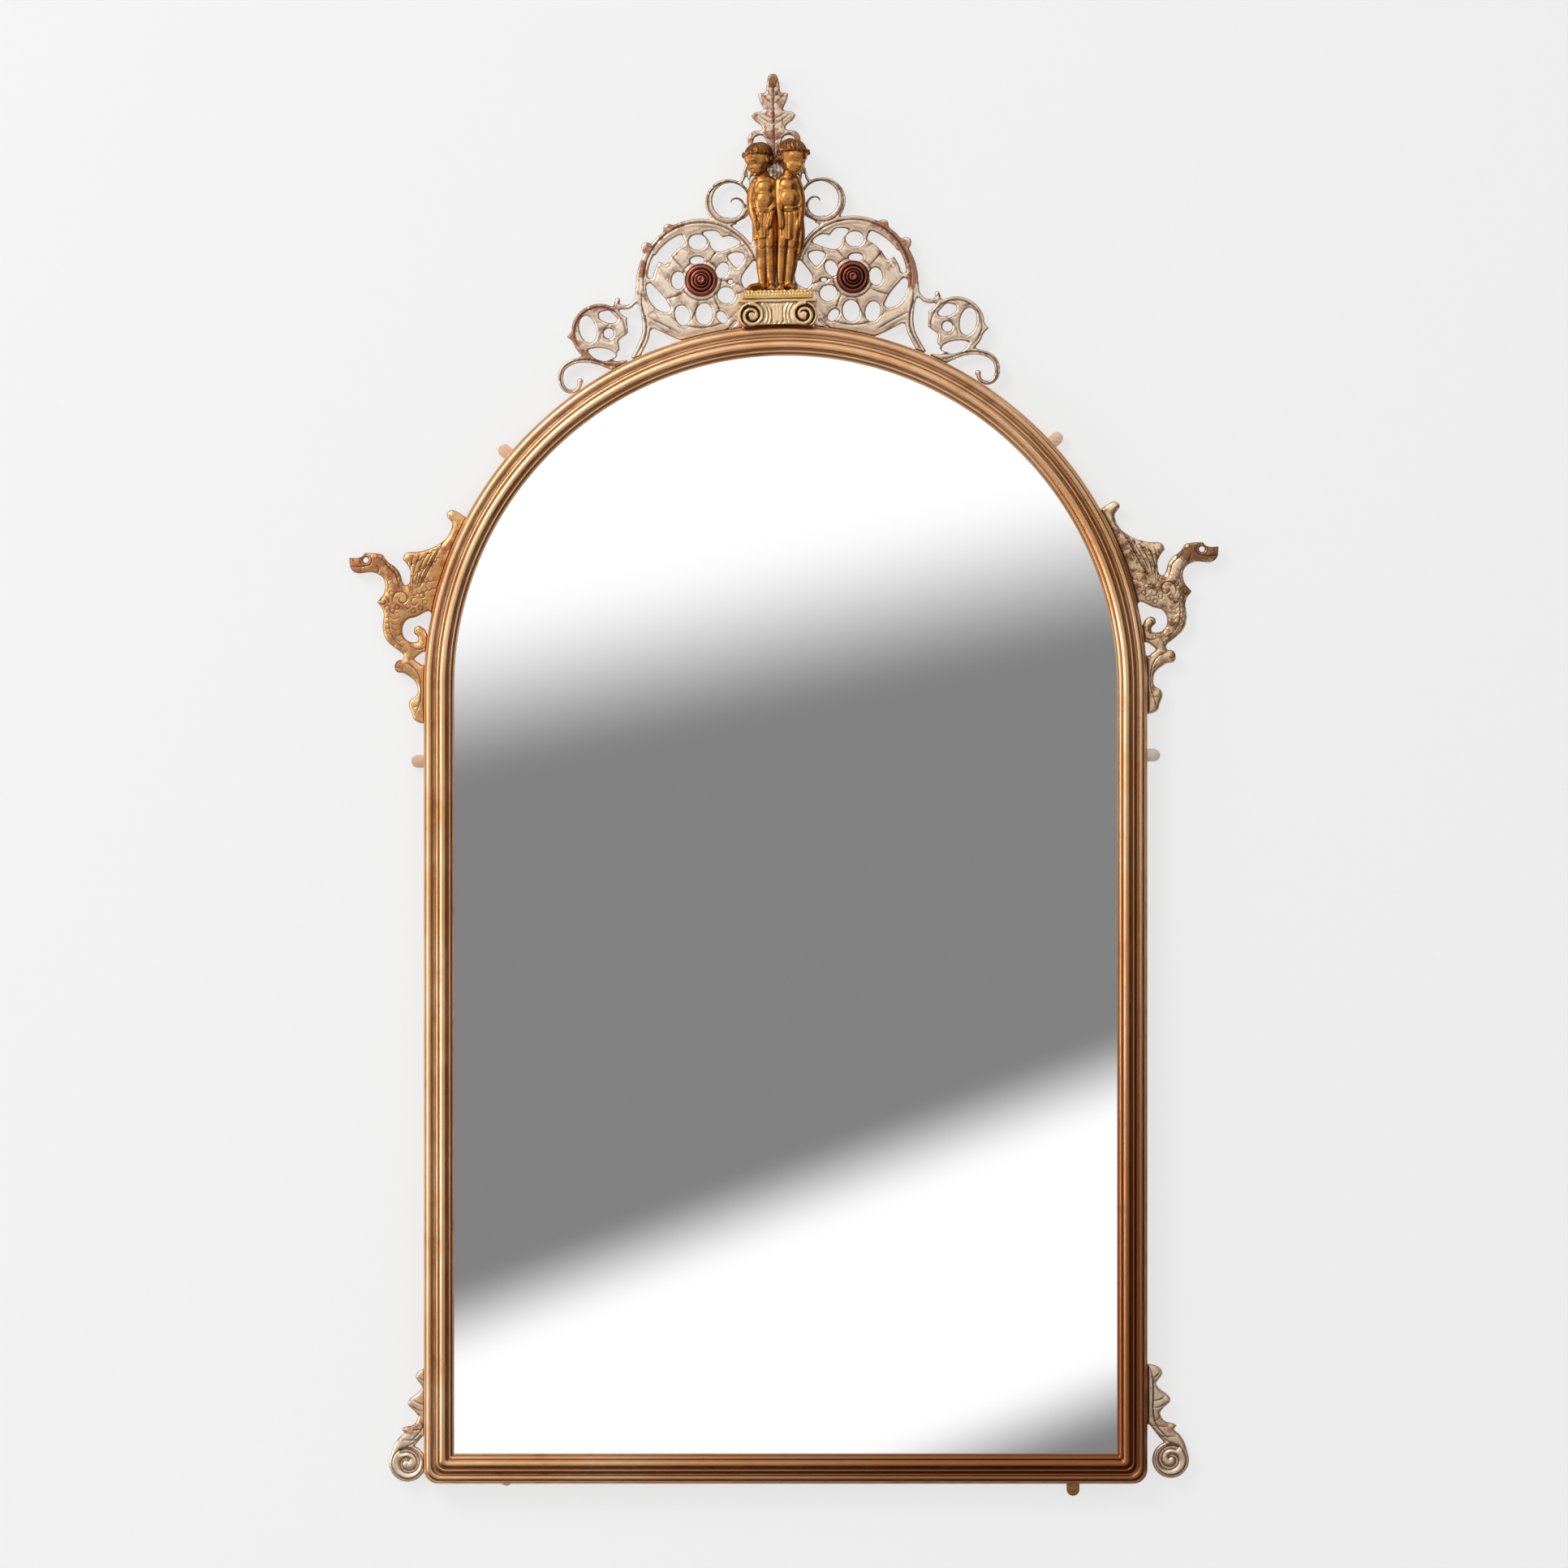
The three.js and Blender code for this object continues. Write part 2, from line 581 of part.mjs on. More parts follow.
// A body or limb lofted upwards through level ovals: x, y, z and the two half widths.
function loft(levels, sides) {
  const positions = []
  const faces = []
  levels.forEach(([x, y, z, rx, ry]) => {
    for (let k = 0; k < sides; k += 1) {
      const a = (k / sides) * 2 * Math.PI
      positions.push(x + rx * Math.cos(a), y + ry * Math.sin(a), z)
    }
  })
  for (let i = 0; i + 1 < levels.length; i += 1) {
    for (let k = 0; k < sides; k += 1) {
      const [a, b] = [i * sides + k, i * sides + ((k + 1) % sides)]
      faces.push(a, b, a + sides, b, b + sides, a + sides)
    }
  }
  const last = (levels.length - 1) * sides
  for (let k = 1; k + 1 < sides; k += 1) faces.push(0, k + 1, k, last, last + k, last + k + 1)
  const geometry = new THREE.BufferGeometry()
  geometry.setAttribute('position', new THREE.Float32BufferAttribute(positions, 3))
  geometry.setIndex(faces)
  return solid(geometry)
}

// A standing child, drawn in thousandths of its own height above its feet.
function figure(side) {
  const k = FIGURE_H / 1000
  const mid = PLATE_FRONT - FIGURE_D * 0.44
  const at = (x, y, z) => [side * x * k, mid - y * k, FEET_AT + z * k]
  const part = (x, y, z, rx, ry, rz, sides) => {
    return lump(...at(x, y, z), rx * k, ry * k, rz * k, sides)
  }
  const grown = (levels, sides) => {
    return loft(levels.map(([x, y, z, rx, ry]) => [...at(x, y, z), rx * k, ry * k]), sides)
  }
  const body = joined([
    part(120, 0, 905, 84, 84, 92, 8), // head
    part(124, -6, 926, 88, 88, 76, 8), // curls
    grown([[86, 0, 420, 60, 50], [86, 0, 480, 80, 66], [90, 2, 560, 72, 62], [88, 8, 630, 68, 70],
      [88, 2, 710, 76, 64], [92, 0, 770, 74, 52], [98, 0, 800, 36, 36], [104, 0, 850, 32, 34]], 8),
    grown([[118, 60, 508, 20, 20], [166, -4, 590, 29, 28], [158, -6, 680, 30, 30],
      [146, 0, 770, 34, 34], [136, 0, 800, 18, 20]], 6), // outer arm
    grown([[42, 72, 425, 20, 20], [26, 44, 600, 26, 26], [38, 22, 740, 30, 30],
      [48, 10, 790, 18, 20]], 6), // inner arm
    grown([[66, 0, 40, 22, 26], [74, -10, 160, 35, 39], [84, 10, 260, 34, 36],
      [96, 4, 350, 48, 48], [104, 0, 470, 54, 50]], 6), // outer leg
    grown([[34, 10, 40, 20, 25], [38, 4, 160, 32, 37], [42, 22, 260, 31, 34],
      [50, 12, 350, 42, 46], [56, 6, 470, 46, 48]], 6), // inner leg
    part(84, 28, 26, 38, 62, 30, 6), // feet
    part(40, 36, 26, 30, 62, 28, 6),
  ])
  const far = 200
  const [x0, x1] = side > 0 ? [-far, RUN] : [-RUN, far]
  return cut(body, [
    boxSolid(-far, far, PLATE_FRONT, 100, 0, 2 * FRAME_R),
    boxSolid(x0, x1, -far, far, 0, 2 * FRAME_R),
    boxSolid(-far, far, -far, far, 0, FEET_AT),
  ])
}

// ---------- side plates ----------

// Winged creature in profile, looking outwards, measured from the outer edge of the frame and
// in height above the centre of the arch.
function dragonOutline() {
  return outline(around(FRAME_R, 0, [
    [[72.5, 133.5], [61, 133.8]],
    [[57, 138], [47, 137.6], [39.4, 136], [35, 129.4], [28, 124.6], [22.6, 117.6],
      [20.4, 110], [17.6, 105]],
    [[13.2, 108], [12, 118], [15, 126]],
    [[19.4, 131], [17.6, 136.4]],
    [[13, 138.4], [5, 138.6], [-4, 140.4], [-14, 144.4], [-22.6, 150.4], [-28, 158.4],
      [-29.6, 167], [-25.6, 171.6], [-24.6, 176], [-29.4, 179.4], [-35, 177.4]],
    [[-46, 170], [-27, 130], [-12, 80], [-2.2, 34], [-1.6, -2], [-1.6, -30.6]],
    [[5, -30.4], [10, -27.6], [12, -22.6]],
    [[13.6, -18], [15.4, -11.6], [12.6, -6.4], [8, -4], [6.4, 2], [8.4, 9.6], [14.4, 15.6]],
    [[21, 19], [26.4, 19.8], [29, 25], [26, 31.4], [20.4, 32.2]],
    [[19.6, 37], [27, 43], [35, 49.6], [39.6, 59], [39.8, 70], [39, 79.4]],
    [[45.4, 89.4]],
    [[39.6, 96], [37.2, 103], [37.8, 110], [42, 116]],
    [[52, 119], [69, 119.4]],
  ]))
}

function dragonHoles() {
  return [
    oval(FRAME_R + 56, 131, 2.9, 2.9, 0, 8),
    outline(around(FRAME_R, 0, [[[-4, 79.6], [7, 74.4], [16, 71.6], [20.6, 64], [19.6, 55], [13.4, 49.6],
      [5.4, 49.6]], [[5, 54], [9.6, 58.6], [9, 63.4], [4.4, 65.4], [-1, 62], [-4, 56]],
    [[-8, 60], [-8, 78]]]), 1),
    outline(around(FRAME_R, 0, [[[10, 32.6], [2.6, 38.6], [-3, 40]], [[-3, 29], [1.4, 26]]]), 1),
  ]
}

const DRAGON_SCREWS = [11, 22] // degrees round the arch, before the slip

function dragonPlate(side) {
  const thick = (shape) => slab(shape, PLATE_BACK, PLATE_FRONT)
  const through = (shape) => slab(shape, PLATE_BACK + CUT_OVER, PLATE_FRONT - CUT_OVER)
  const r = FRAME_R - FOOT_W / 2
  const foot = scroll(0, 0, [r, r], [7, 26], [FOOT_W, FOOT_W], 3)
  const plain = joined([cut(thick(dragonOutline()), dragonHoles().map(through)), thick(foot)])
  const handed = side > 0 ? plain : mirrored(plain)
  const placed = turned(handed, DRAGON_TURN)
  const angles = DRAGON_SCREWS.map((a) => (side > 0 ? a : 180 - a))
  const screws = screwSpots(angles, DRAGON_TURN).map(shankHole(0, BACK - CUT_OVER))
  return cut(placed, [frameClearance(PLATE_FRONT - CUT_OVER), ...screws])
}

// Lower side plate: a leafy strip that runs down the stile into a round scroll.
// It is measured from the outer edge and from the bottom edge of the frame.
const LOW_SCROLL = [23.4, 23, 18.2] // centre and radius
const LOW_SCREWS = [66, 102]

function lowerPlate(side) {
  const thick = (shape) => slab(shape, PLATE_BACK, PLATE_FRONT)
  const [sx, sz, sr] = [FRAME_R + LOW_SCROLL[0], LOW_SCROLL[1], LOW_SCROLL[2]]
  const [inwards, down] = side > 0 ? [0, 0] : [LOWER_SLIP, LOWER_DROP]
  const inner = 1 + inwards - FOOT_W
  const leaf = outline(around(FRAME_R, 0, [
    [[inner, 117.6], [0, 117.8], [8.6, 116], [13.8, 112.6], [15.4, 107.6], [12, 102.8]],
    [[8.6, 98.4], [12.2, 93.4], [17.8, 89.2], [22.8, 84.4], [23, 80.2], [17.2, 75]],
    [[12.8, 69.6], [14.6, 64.4], [18.8, 60.4], [25.2, 59]],
    [[29.6, 57], [26.2, 52.6]],
    [[32.8, 47], [37.6, 39], [40.6, 29], [31, 30], [18.4, 38], [9.4, 48.6], [2.4, 57.6],
      [inner, 57.6]],
  ]), 1)
  const groove = scroll(sx, sz, [sr - 5, 3.4], [60, 480], [2.6, 2], 13)
  const chased = slab(groove, PLATE_FRONT + 1.4, PLATE_FRONT - CUT_OVER)
  const plain = joined([leaf, oval(sx, sz, sr, sr, 0, 20)].map(thick)).subtract(chased)
  const lowered = solid(geometryOf(plain).translate(-inwards, 0, BOTTOM - down))
  const placed = side > 0 ? lowered : mirrored(lowered)
  const holes = lowerScrewSpots(side).map(shankHole(0, BACK - CUT_OVER))
  return cut(placed, [frameClearance(PLATE_FRONT - CUT_OVER), ...holes])
}

function lowerScrewSpots(side) {
  return LOW_SCREWS.map((h) => [side * (FRAME_R - FOOT_W / 2), BOTTOM + h])
}

// ---------- fasteners and fittings ----------

// Round-headed screw whose head rests on the plane y = seat.
function screw(x, z, seat) {
  const tip = seat - BACK + SCREW_L
  const profile = [[0, -HEAD_H], [HEAD_R * 0.7, -HEAD_H * 0.9], [HEAD_R, 0],
    [SHANK_R, 0], [SHANK_R, tip], [0, tip]]
  return turnedWork(profile, x, z, seat, 6)
}

// Flat bar with round ends that turns on a screw. It is drawn lying along x.
function turnButton(reach) {
  const r = BUTTON_W / 2
  const outer = MOULD_W - PIVOT_U + reach - r
  const inner = BUTTON_INNER - r
  const shape = new THREE.Shape()
  shape.moveTo(-inner, -r)
  shape.lineTo(outer, -r)
  shape.absarc(outer, 0, r, -Math.PI / 2, Math.PI / 2)
  shape.lineTo(-inner, r)
  shape.absarc(-inner, 0, r, Math.PI / 2, 1.5 * Math.PI)
  const bar = slab(shape, BACK + RUN + BUTTON_T, BACK + RUN, 5)
  return cut(bar, [rod(0, 0, SHANK_R + RUN, 0, BACK, 10)])
}

const BUTTON_SEAT = BACK + RUN + BUTTON_T + RUN

// Raised keyhole hanger: its middle stands off the frame so that a screw head fits behind it.
const HANGER_X = LAND_MID
const HANGER_LIFT = 3.3

function hanger(side) {
  const [l, t] = [HANGER_L / 2, HANGER_T]
  const profile = polygon([[-l, 0], [-l + 9, 0], [-l + 12, HANGER_LIFT], [l - 12, HANGER_LIFT],
    [l - 9, 0], [l, 0], [l, t], [l - 8.4, t], [l - 11.4, HANGER_LIFT + t],
    [-l + 11.4, HANGER_LIFT + t], [-l + 8.4, t], [-l, t]])
  const geometry = new THREE.ExtrudeGeometry(profile, { depth: HANGER_W, bevelEnabled: false })
  // the profile's length becomes z, its height becomes y and its depth becomes x
  geometry.applyMatrix4(new THREE.Matrix4().set(
    0, 0, 1, side * HANGER_X - HANGER_W / 2,
    0, 1, 0, BACK,
    1, 0, 0, 0,
    0, 0, 0, 1))
  const slotR = KEYHOLE_R * 0.5
  const x = side * HANGER_X
  return cut(solid(geometry), [
    rod(x, -6, KEYHOLE_R, 1, BACK - 1, 16),
    boxSolid(x - slotR, x + slotR, BACK, 1, -6, 0),
    rod(x, 0, slotR, 1, BACK - 1, 12),
    ...hangerScrews(side).map(shankHole(1, BACK - 1)),
  ])
}

function hangerScrews(side) {
  return [1, -1].map((end) => [side * HANGER_X, end * (HANGER_L / 2 - 4.2)])
}

// Soft pad that keeps the frame off the wall.
function bumper(x, z) {
  const profile = [[0, 0], [BUMPER_R - 1.4, 0], [BUMPER_R, 1.6], [BUMPER_R, STANDOFF], [0, STANDOFF]]
  return turnedWork(profile, x, z, 0, 12)
}

// ---------- where things go ----------

// each button: its pivot, and the direction of its outer end in degrees
const onArchAt = (degrees) => ({
  x: PIVOT_R * Math.cos(rad(degrees)),
  z: PIVOT_R * Math.sin(rad(degrees)),
  aim: degrees,
  reach: BUTTON_REACH,
})
const RAIL_PIVOT = -(SIGHT_DROP + PIVOT_U)
const BUTTONS = {
  upper_left: onArchAt(139.9),
  upper_right: onArchAt(42.6),
  side_left: { x: -PIVOT_R, z: -73, aim: 180, reach: BUTTON_REACH },
  side_right: { x: PIVOT_R, z: -67, aim: 0, reach: BUTTON_REACH },
  lower_left: { x: -(SIGHT_R - 51), z: RAIL_PIVOT, aim: -90, reach: BUTTON_REACH_WORN },
  lower_right: { x: SIGHT_R - 43, z: RAIL_PIVOT, aim: -90, reach: BUTTON_REACH },
}

const crestScrewSpots = screwSpots(CREST_SCREWS, CREST_TURN)
const dragonScrewSpots = (side) => {
  return screwSpots(DRAGON_SCREWS.map((a) => (side > 0 ? a : 180 - a)), DRAGON_TURN)
}
const BUMPERS = {
  upper_left: [LAND_MID * Math.cos(rad(149)), LAND_MID * Math.sin(rad(149))],
  upper_right: [LAND_MID * Math.cos(rad(32)), LAND_MID * Math.sin(rad(32))],
  lower_left: [2 - SIGHT_R, -(SIGHT_DROP + (REBATE_W + MOULD_W) / 2)],
  lower_right: [SIGHT_R - 2, -(SIGHT_DROP + (REBATE_W + MOULD_W) / 2)],
}

// every hole that is drilled into the back of the frame
const drilled = [
  ...Object.values(BUTTONS).map(({ x, z }) => [x, z]),
  ...crestScrewSpots,
  ...[1, -1].flatMap((side) => [
    ...dragonScrewSpots(side), ...lowerScrewSpots(side), ...hangerScrews(side)]),
]

function drill(body, low, high) {
  const inside = drilled.filter(([, z]) => z > low && z < high)
  const hole = ([x, z]) => rod(x, z, SHANK_R + RUN, BACK + CUT_OVER, BACK - SCREW_L - 1)
  return cut(body, inside.map(hole))
}

// ---------- the mirror ----------

const mirror = new THREE.Group()

function piece(parent, name, body, material) {
  const mesh = new THREE.Mesh(geometryOf(body), material)
  mesh.name = name
  parent.add(mesh)
  return mesh
}

const SIDES = { left: -1, right: 1 }

piece(mirror, 'frame_arch', drill(frameArch(), -ARCH_STRAIGHT, FRAME_R), FRAME_BRONZE)
piece(mirror, 'frame_bottom_rail', drill(frameBottomRail(), BOTTOM, SILL_TOP), FRAME_BRONZE)
piece(mirror, 'mirror_glass', archedSheet(GLASS_BACK, GLASS_BACK - GLASS_T), MIRROR)
piece(mirror, 'felt_sheet', archedSheet(FELT_BACK, FELT_BACK - FELT_T), FELT)
piece(mirror, 'backboard', archedSheet(BACK, BACK - BOARD_T), BOARD)

// the crest and all that stands on it have slipped round the arch together
const crest = new THREE.Group()
crest.rotation.y = rad(-CREST_TURN)
mirror.add(crest)
piece(crest, 'crest_plate', crestPlate(), PALE_BRONZE)
piece(crest, 'volute_capital', capital(), PALE_BRONZE)
piece(crest, 'figure_plinth', plinth(), PALE_BRONZE)

for (const [name, side] of Object.entries(SIDES)) {
  const stile = frameStile(side)
  const onSide = drilled.filter(([x]) => x * side > 0)
  const holes = onSide.filter(([, z]) => z < -ARCH_STRAIGHT && z > SILL_TOP)
    .map(([x, z]) => rod(x, z, SHANK_R + RUN, BACK + CUT_OVER, BACK - SCREW_L - 1))
  piece(mirror, `frame_${name}_stile`, cut(stile, holes), FRAME_BRONZE)
  piece(crest, `${name}_figure`, figure(side), GOLD_BRONZE)
  piece(crest, `${name}_boss`, boss(side), RED_BRONZE)
  piece(mirror, `${name}_dragon`, dragonPlate(side), SIDE_BRONZE)
  piece(mirror, `${name}_lower_scroll`, lowerPlate(side), SIDE_BRONZE)
  piece(mirror, `${name}_hanger`, hanger(side), STEEL)
  hangerScrews(side).forEach(([x, z], i) => {
    piece(mirror, `${name}_hanger_screw_${i + 1}`, screw(x, z, BACK + HANGER_T), STEEL)
  })
  dragonScrewSpots(side).forEach(([x, z], i) => {
    piece(mirror, `${name}_dragon_screw_${i + 1}`, screw(x, z, PLATE_BACK), STEEL)
  })
  lowerScrewSpots(side).forEach(([x, z], i) => {
    piece(mirror, `${name}_scroll_screw_${i + 1}`, screw(x, z, PLATE_BACK), STEEL)
  })
}

crestScrewSpots.forEach(([x, z], i) => {
  piece(mirror, `crest_screw_${i + 1}`, screw(x, z, PLATE_BACK), STEEL)
})

for (const [name, { x, z, aim, reach }] of Object.entries(BUTTONS)) {
  const button = piece(mirror, `${name}_button`, turnButton(reach), SIDE_BRONZE)
  button.position.set(x, 0, z)
  button.rotation.y = rad(-aim)
  piece(mirror, `${name}_pivot`, screw(x, z, BUTTON_SEAT), STEEL)
}

for (const [name, [x, z]] of Object.entries(BUMPERS)) {
  piece(mirror, `${name}_bumper`, bumper(x, z), RUBBER)
}

export default mirror
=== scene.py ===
"""The looks of an arched bronze wall mirror with a pierced crest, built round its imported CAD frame."""

import math

import bmesh
import bpy
import numpy as np
from mathutils import Euler, Matrix, Vector, kdtree, noise


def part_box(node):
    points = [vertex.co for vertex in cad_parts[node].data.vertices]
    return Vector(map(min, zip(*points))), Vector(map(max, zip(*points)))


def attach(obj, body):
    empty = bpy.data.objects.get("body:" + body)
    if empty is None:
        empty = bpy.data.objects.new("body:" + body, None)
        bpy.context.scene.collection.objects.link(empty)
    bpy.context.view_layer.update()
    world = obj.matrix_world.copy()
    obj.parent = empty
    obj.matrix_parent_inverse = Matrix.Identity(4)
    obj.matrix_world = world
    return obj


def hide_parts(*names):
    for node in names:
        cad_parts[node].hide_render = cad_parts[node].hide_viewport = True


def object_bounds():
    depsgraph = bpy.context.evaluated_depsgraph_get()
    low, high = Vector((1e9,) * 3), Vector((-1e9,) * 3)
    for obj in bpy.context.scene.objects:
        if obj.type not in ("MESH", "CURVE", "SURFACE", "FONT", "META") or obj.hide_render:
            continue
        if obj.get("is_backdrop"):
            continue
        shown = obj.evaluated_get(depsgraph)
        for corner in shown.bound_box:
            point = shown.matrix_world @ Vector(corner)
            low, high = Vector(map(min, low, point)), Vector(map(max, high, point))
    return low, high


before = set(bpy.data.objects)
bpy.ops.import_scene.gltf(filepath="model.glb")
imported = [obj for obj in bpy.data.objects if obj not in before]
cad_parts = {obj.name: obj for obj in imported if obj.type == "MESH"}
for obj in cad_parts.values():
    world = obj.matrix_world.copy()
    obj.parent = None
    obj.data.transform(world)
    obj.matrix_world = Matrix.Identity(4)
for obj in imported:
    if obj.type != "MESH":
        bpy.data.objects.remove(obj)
cad_low, cad_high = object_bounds()
MM = 0.001

# ---------- the room ----------
# A pale wall and floor in a photographer's studio. The mirror hangs on the wall, and the camera
# stands square to it, far back, with a long lens. Nothing here belongs to the object.

PIXEL = 0.8 * MM  # what one pixel of the photograph spans on the mirror
CENTRE_COLUMN, ARCH_ROW, HALF_FRAME = 968, 846.5, 966  # pixels of the photograph
FRONT_PLANE = -0.02  # the plane that the camera is aimed at, in metres from the wall
CAMERA_BACK = 6.0  # metres from that plane

scene = bpy.context.scene
scene.view_settings.view_transform = "Standard"
aim = Vector(((HALF_FRAME - CENTRE_COLUMN) * PIXEL, FRONT_PLANE, (ARCH_ROW - HALF_FRAME) * PIXEL))
bpy.ops.object.camera_add(location=aim - Vector((0, CAMERA_BACK, 0)), rotation=(math.pi / 2, 0, 0))
scene.camera = bpy.context.object
scene.camera.data.lens = scene.camera.data.sensor_width * CAMERA_BACK / (2 * HALF_FRAME * PIXEL)
scene.camera.data.clip_end = 50


class Wire:
    """One output of a node. Sums on it add the Math nodes."""

    def __init__(self, bench, socket):
        self.bench, self.socket = bench, socket

    def sum(self, kind, a, b, clamp=False):
        return self.bench.node("Math", {"operation": kind, "use_clamp": clamp}, {0: a, 1: b})

    def __add__(self, other):
        return self.sum("ADD", self, other)

    def __sub__(self, other):
        return self.sum("SUBTRACT", self, other)

    def __mul__(self, other):
        return self.sum("MULTIPLY", self, other)

    def __rsub__(self, other):
        return self.sum("SUBTRACT", other, self)

    __radd__ = __add__
    __rmul__ = __mul__

    def clipped(self):
        """The same value, held between 0 and 1."""
        return self.sum("ADD", self, 0.0, clamp=True)


class Bench:
    """The node tree of one material or of the world, and the ways to add to it."""

    def __init__(self, owner):
        owner.use_nodes = True
        self.tree = owner.node_tree
        self.tree.nodes.clear()

    def node(self, kind, settings=None, inputs=None, output=0):
        made = self.tree.nodes.new("ShaderNode" + kind)
        for name, value in (settings or {}).items():
            setattr(made, name, value)
        for name, value in (inputs or {}).items():
            socket = made.inputs[name]
            if isinstance(value, Wire):
                self.tree.links.new(value.socket, socket)
            elif np.size(value) == 3 and np.size(socket.default_value) == 4:
                socket.default_value = (*value, 1)
            else:
                socket.default_value = value
        return Wire(self, made.outputs[output]) if made.outputs else None

    def spot(self):
        """Where a point lies, in metres along the axes of its object."""
        return self.node("TexCoord", output="Object")

    def along(self, axis):
        """One coordinate of that place: 0, 1 or 2 for x, y or z."""
        return self.node("SeparateXYZ", inputs={0: self.spot()}, output=axis)

    def cloud(self, scale, detail=3.0, rough=0.5, stretch=(1, 1, 1), warp=0.0):
        places = self.node("Mapping", inputs={"Vector": self.spot(), "Scale": stretch})
        inputs = {"Vector": places, "Scale": scale, "Detail": detail, "Roughness": rough}
        return self.node("TexNoise", inputs={**inputs, "Distortion": warp})

    def band(self, value, low, high):
        """0 below low, 1 above high, smooth between."""
        settings = {"interpolation_type": "SMOOTHSTEP"}
        return self.node("MapRange", settings, {"Value": value, "From Min": low, "From Max": high})

    def blend(self, factor, a, b):
        """Colour a at factor 0, colour b at 1."""
        return self.node("Mix", {"data_type": "RGBA"}, {"Factor": factor, 6: a, 7: b}, output=2)

    def trait(self, name):
        """What was painted on the mesh under that name; 0 where nothing was."""
        return self.node("Attribute", {"attribute_name": name}, output="Fac")

    def finish(self, shader, kind="Material"):
        self.node("Output" + kind, inputs={"Surface": shader})


def clad(piece, material):
    """Gives a piece one material in place of any that it has."""
    piece.data.materials.clear()
    piece.data.materials.append(material)


PALE = (0.888, 0.888, 0.888)

world = bpy.data.worlds.new("studio")
scene.world = world
bench = Bench(world)
straight, mirrored, through = (bench.node("LightPath", output=f"Is {kind} Ray")
                               for kind in ("Camera", "Glossy", "Transmission"))
seen = (straight + mirrored + through).clipped()
backdrop = bench.node("Background", inputs={"Color": PALE, "Strength": 1.0})
fill = bench.node("Background", inputs={"Color": (1, 1, 1), "Strength": 0.55})
bench.finish(bench.node("MixShader", inputs={0: seen, 1: fill, 2: backdrop}), "World")

# the wall shows only from the front, so that the back of the mirror can be looked at
ROOM, WALL_GAP, FLOOR_HEIGHT = 14, 2 * MM, -1.64
bpy.ops.mesh.primitive_plane_add(size=ROOM, location=(0, WALL_GAP, 1), rotation=(math.pi / 2, 0, 0))
wall = bpy.context.object
wall.name = "wall"
wall_paint = bpy.data.materials.new("wall paint")
bench = Bench(wall_paint)
matt = bench.node("BsdfPrincipled", inputs={"Base Color": (0.8, 0.8, 0.8), "Roughness": 0.95})
glow = bench.node("Emission", inputs={"Color": PALE, "Strength": 1.01})
lit = bench.node("MixShader", inputs={0: 0.75, 1: matt, 2: glow})  # so that it stays even and nearly white
clear = bench.node("BsdfTransparent")
behind = bench.node("NewGeometry", output="Backfacing")
bench.finish(bench.node("MixShader", inputs={0: behind, 1: lit, 2: clear}))
clad(wall, wall_paint)
wall.visible_diffuse = wall.visible_shadow = False
wall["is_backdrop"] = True

bpy.ops.mesh.primitive_plane_add(size=ROOM, location=(0, 0, FLOOR_HEIGHT))
floor = bpy.context.object
floor.name = "floor"
floor_paint = bpy.data.materials.new("floor paint")
bench = Bench(floor_paint)
bench.finish(bench.node("BsdfPrincipled", inputs={"Base Color": (0.75, 0.75, 0.75), "Roughness": 0.9}))
clad(floor, floor_paint)
floor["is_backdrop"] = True

LIT = Vector((0, 0, -0.2))  # the lamps point at the middle of the mirror


def lamp(name, place, size, power):
    bpy.ops.object.light_add(type="AREA", location=place)
    made = bpy.context.object
    made.name = name
    made.data.shape, made.data.size, made.data.energy = "SQUARE", size, power
    made.rotation_euler = (LIT - Vector(place)).to_track_quat("-Z", "Y").to_euler()


# each lamp: its place and size in metres, and its power in watts
lamp("key", (-2.4, -2.6, 2.6), 1.6, 94)
lamp("side", (-3.2, -1.0, -0.4), 1.4, 30)
lamp("soft fill", (2.2, -3.4, 1.2), 2.0, 12)


def card(name, place, turn, size, light):
    """A card that is seen only in reflections. Its light is a colour, or a function of the bench."""
    bpy.ops.mesh.primitive_plane_add(size=1, location=place, rotation=[math.radians(a) for a in turn])
    made = bpy.context.object
    made.name = name
    made.scale = (*size, 1)
    material = bpy.data.materials.new(name + " cloth")
    bench = Bench(material)
    colour = light(bench) if callable(light) else light
    bench.finish(bench.node("Emission", inputs={"Color": colour, "Strength": 1.0}))
    clad(made, material)
    made.visible_camera = made.visible_diffuse = made.visible_shadow = False
    made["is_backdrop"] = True


DUSK = (0.03, 0.009, 0.003)
AMBER = (0.30, 0.195, 0.115)


def floor_glow(bench):
    """Dark close to the wall, amber further out."""
    return bench.blend(bench.band(bench.along(1), 0.154, -0.27), DUSK, AMBER)


# each card: its place in metres, its turns in degrees, its size in metres and its colour
card("right_flag", (1.2, -1.16, -0.1), (90, 0, 90), (2.3, 3.2), DUSK)
card("right_wall_flag", (0.84, -0.02, -0.1), (90, 0, 0), (0.8, 3.2), DUSK)
card("low_flag", (0, -0.65, -1.14), (0, 0, 0), (3.0, 1.3), floor_glow)
card("low_wall_flag", (0, -0.02, -1.0), (90, 0, 0), (4.0, 0.28), DUSK)

# The grey card behind the camera lies across the mirror's reflection, out of focus.
CARD_BACK, CARD_SIZE = 7.0, 5.0
SPREAD = (CARD_BACK + CAMERA_BACK + aim.y) / (CAMERA_BACK + aim.y) * PIXEL  # of one pixel, on the card
CARD_LIGHT, CARD_GREY = (1.06, 1.06, 1.06), (0.235, 0.235, 0.235)


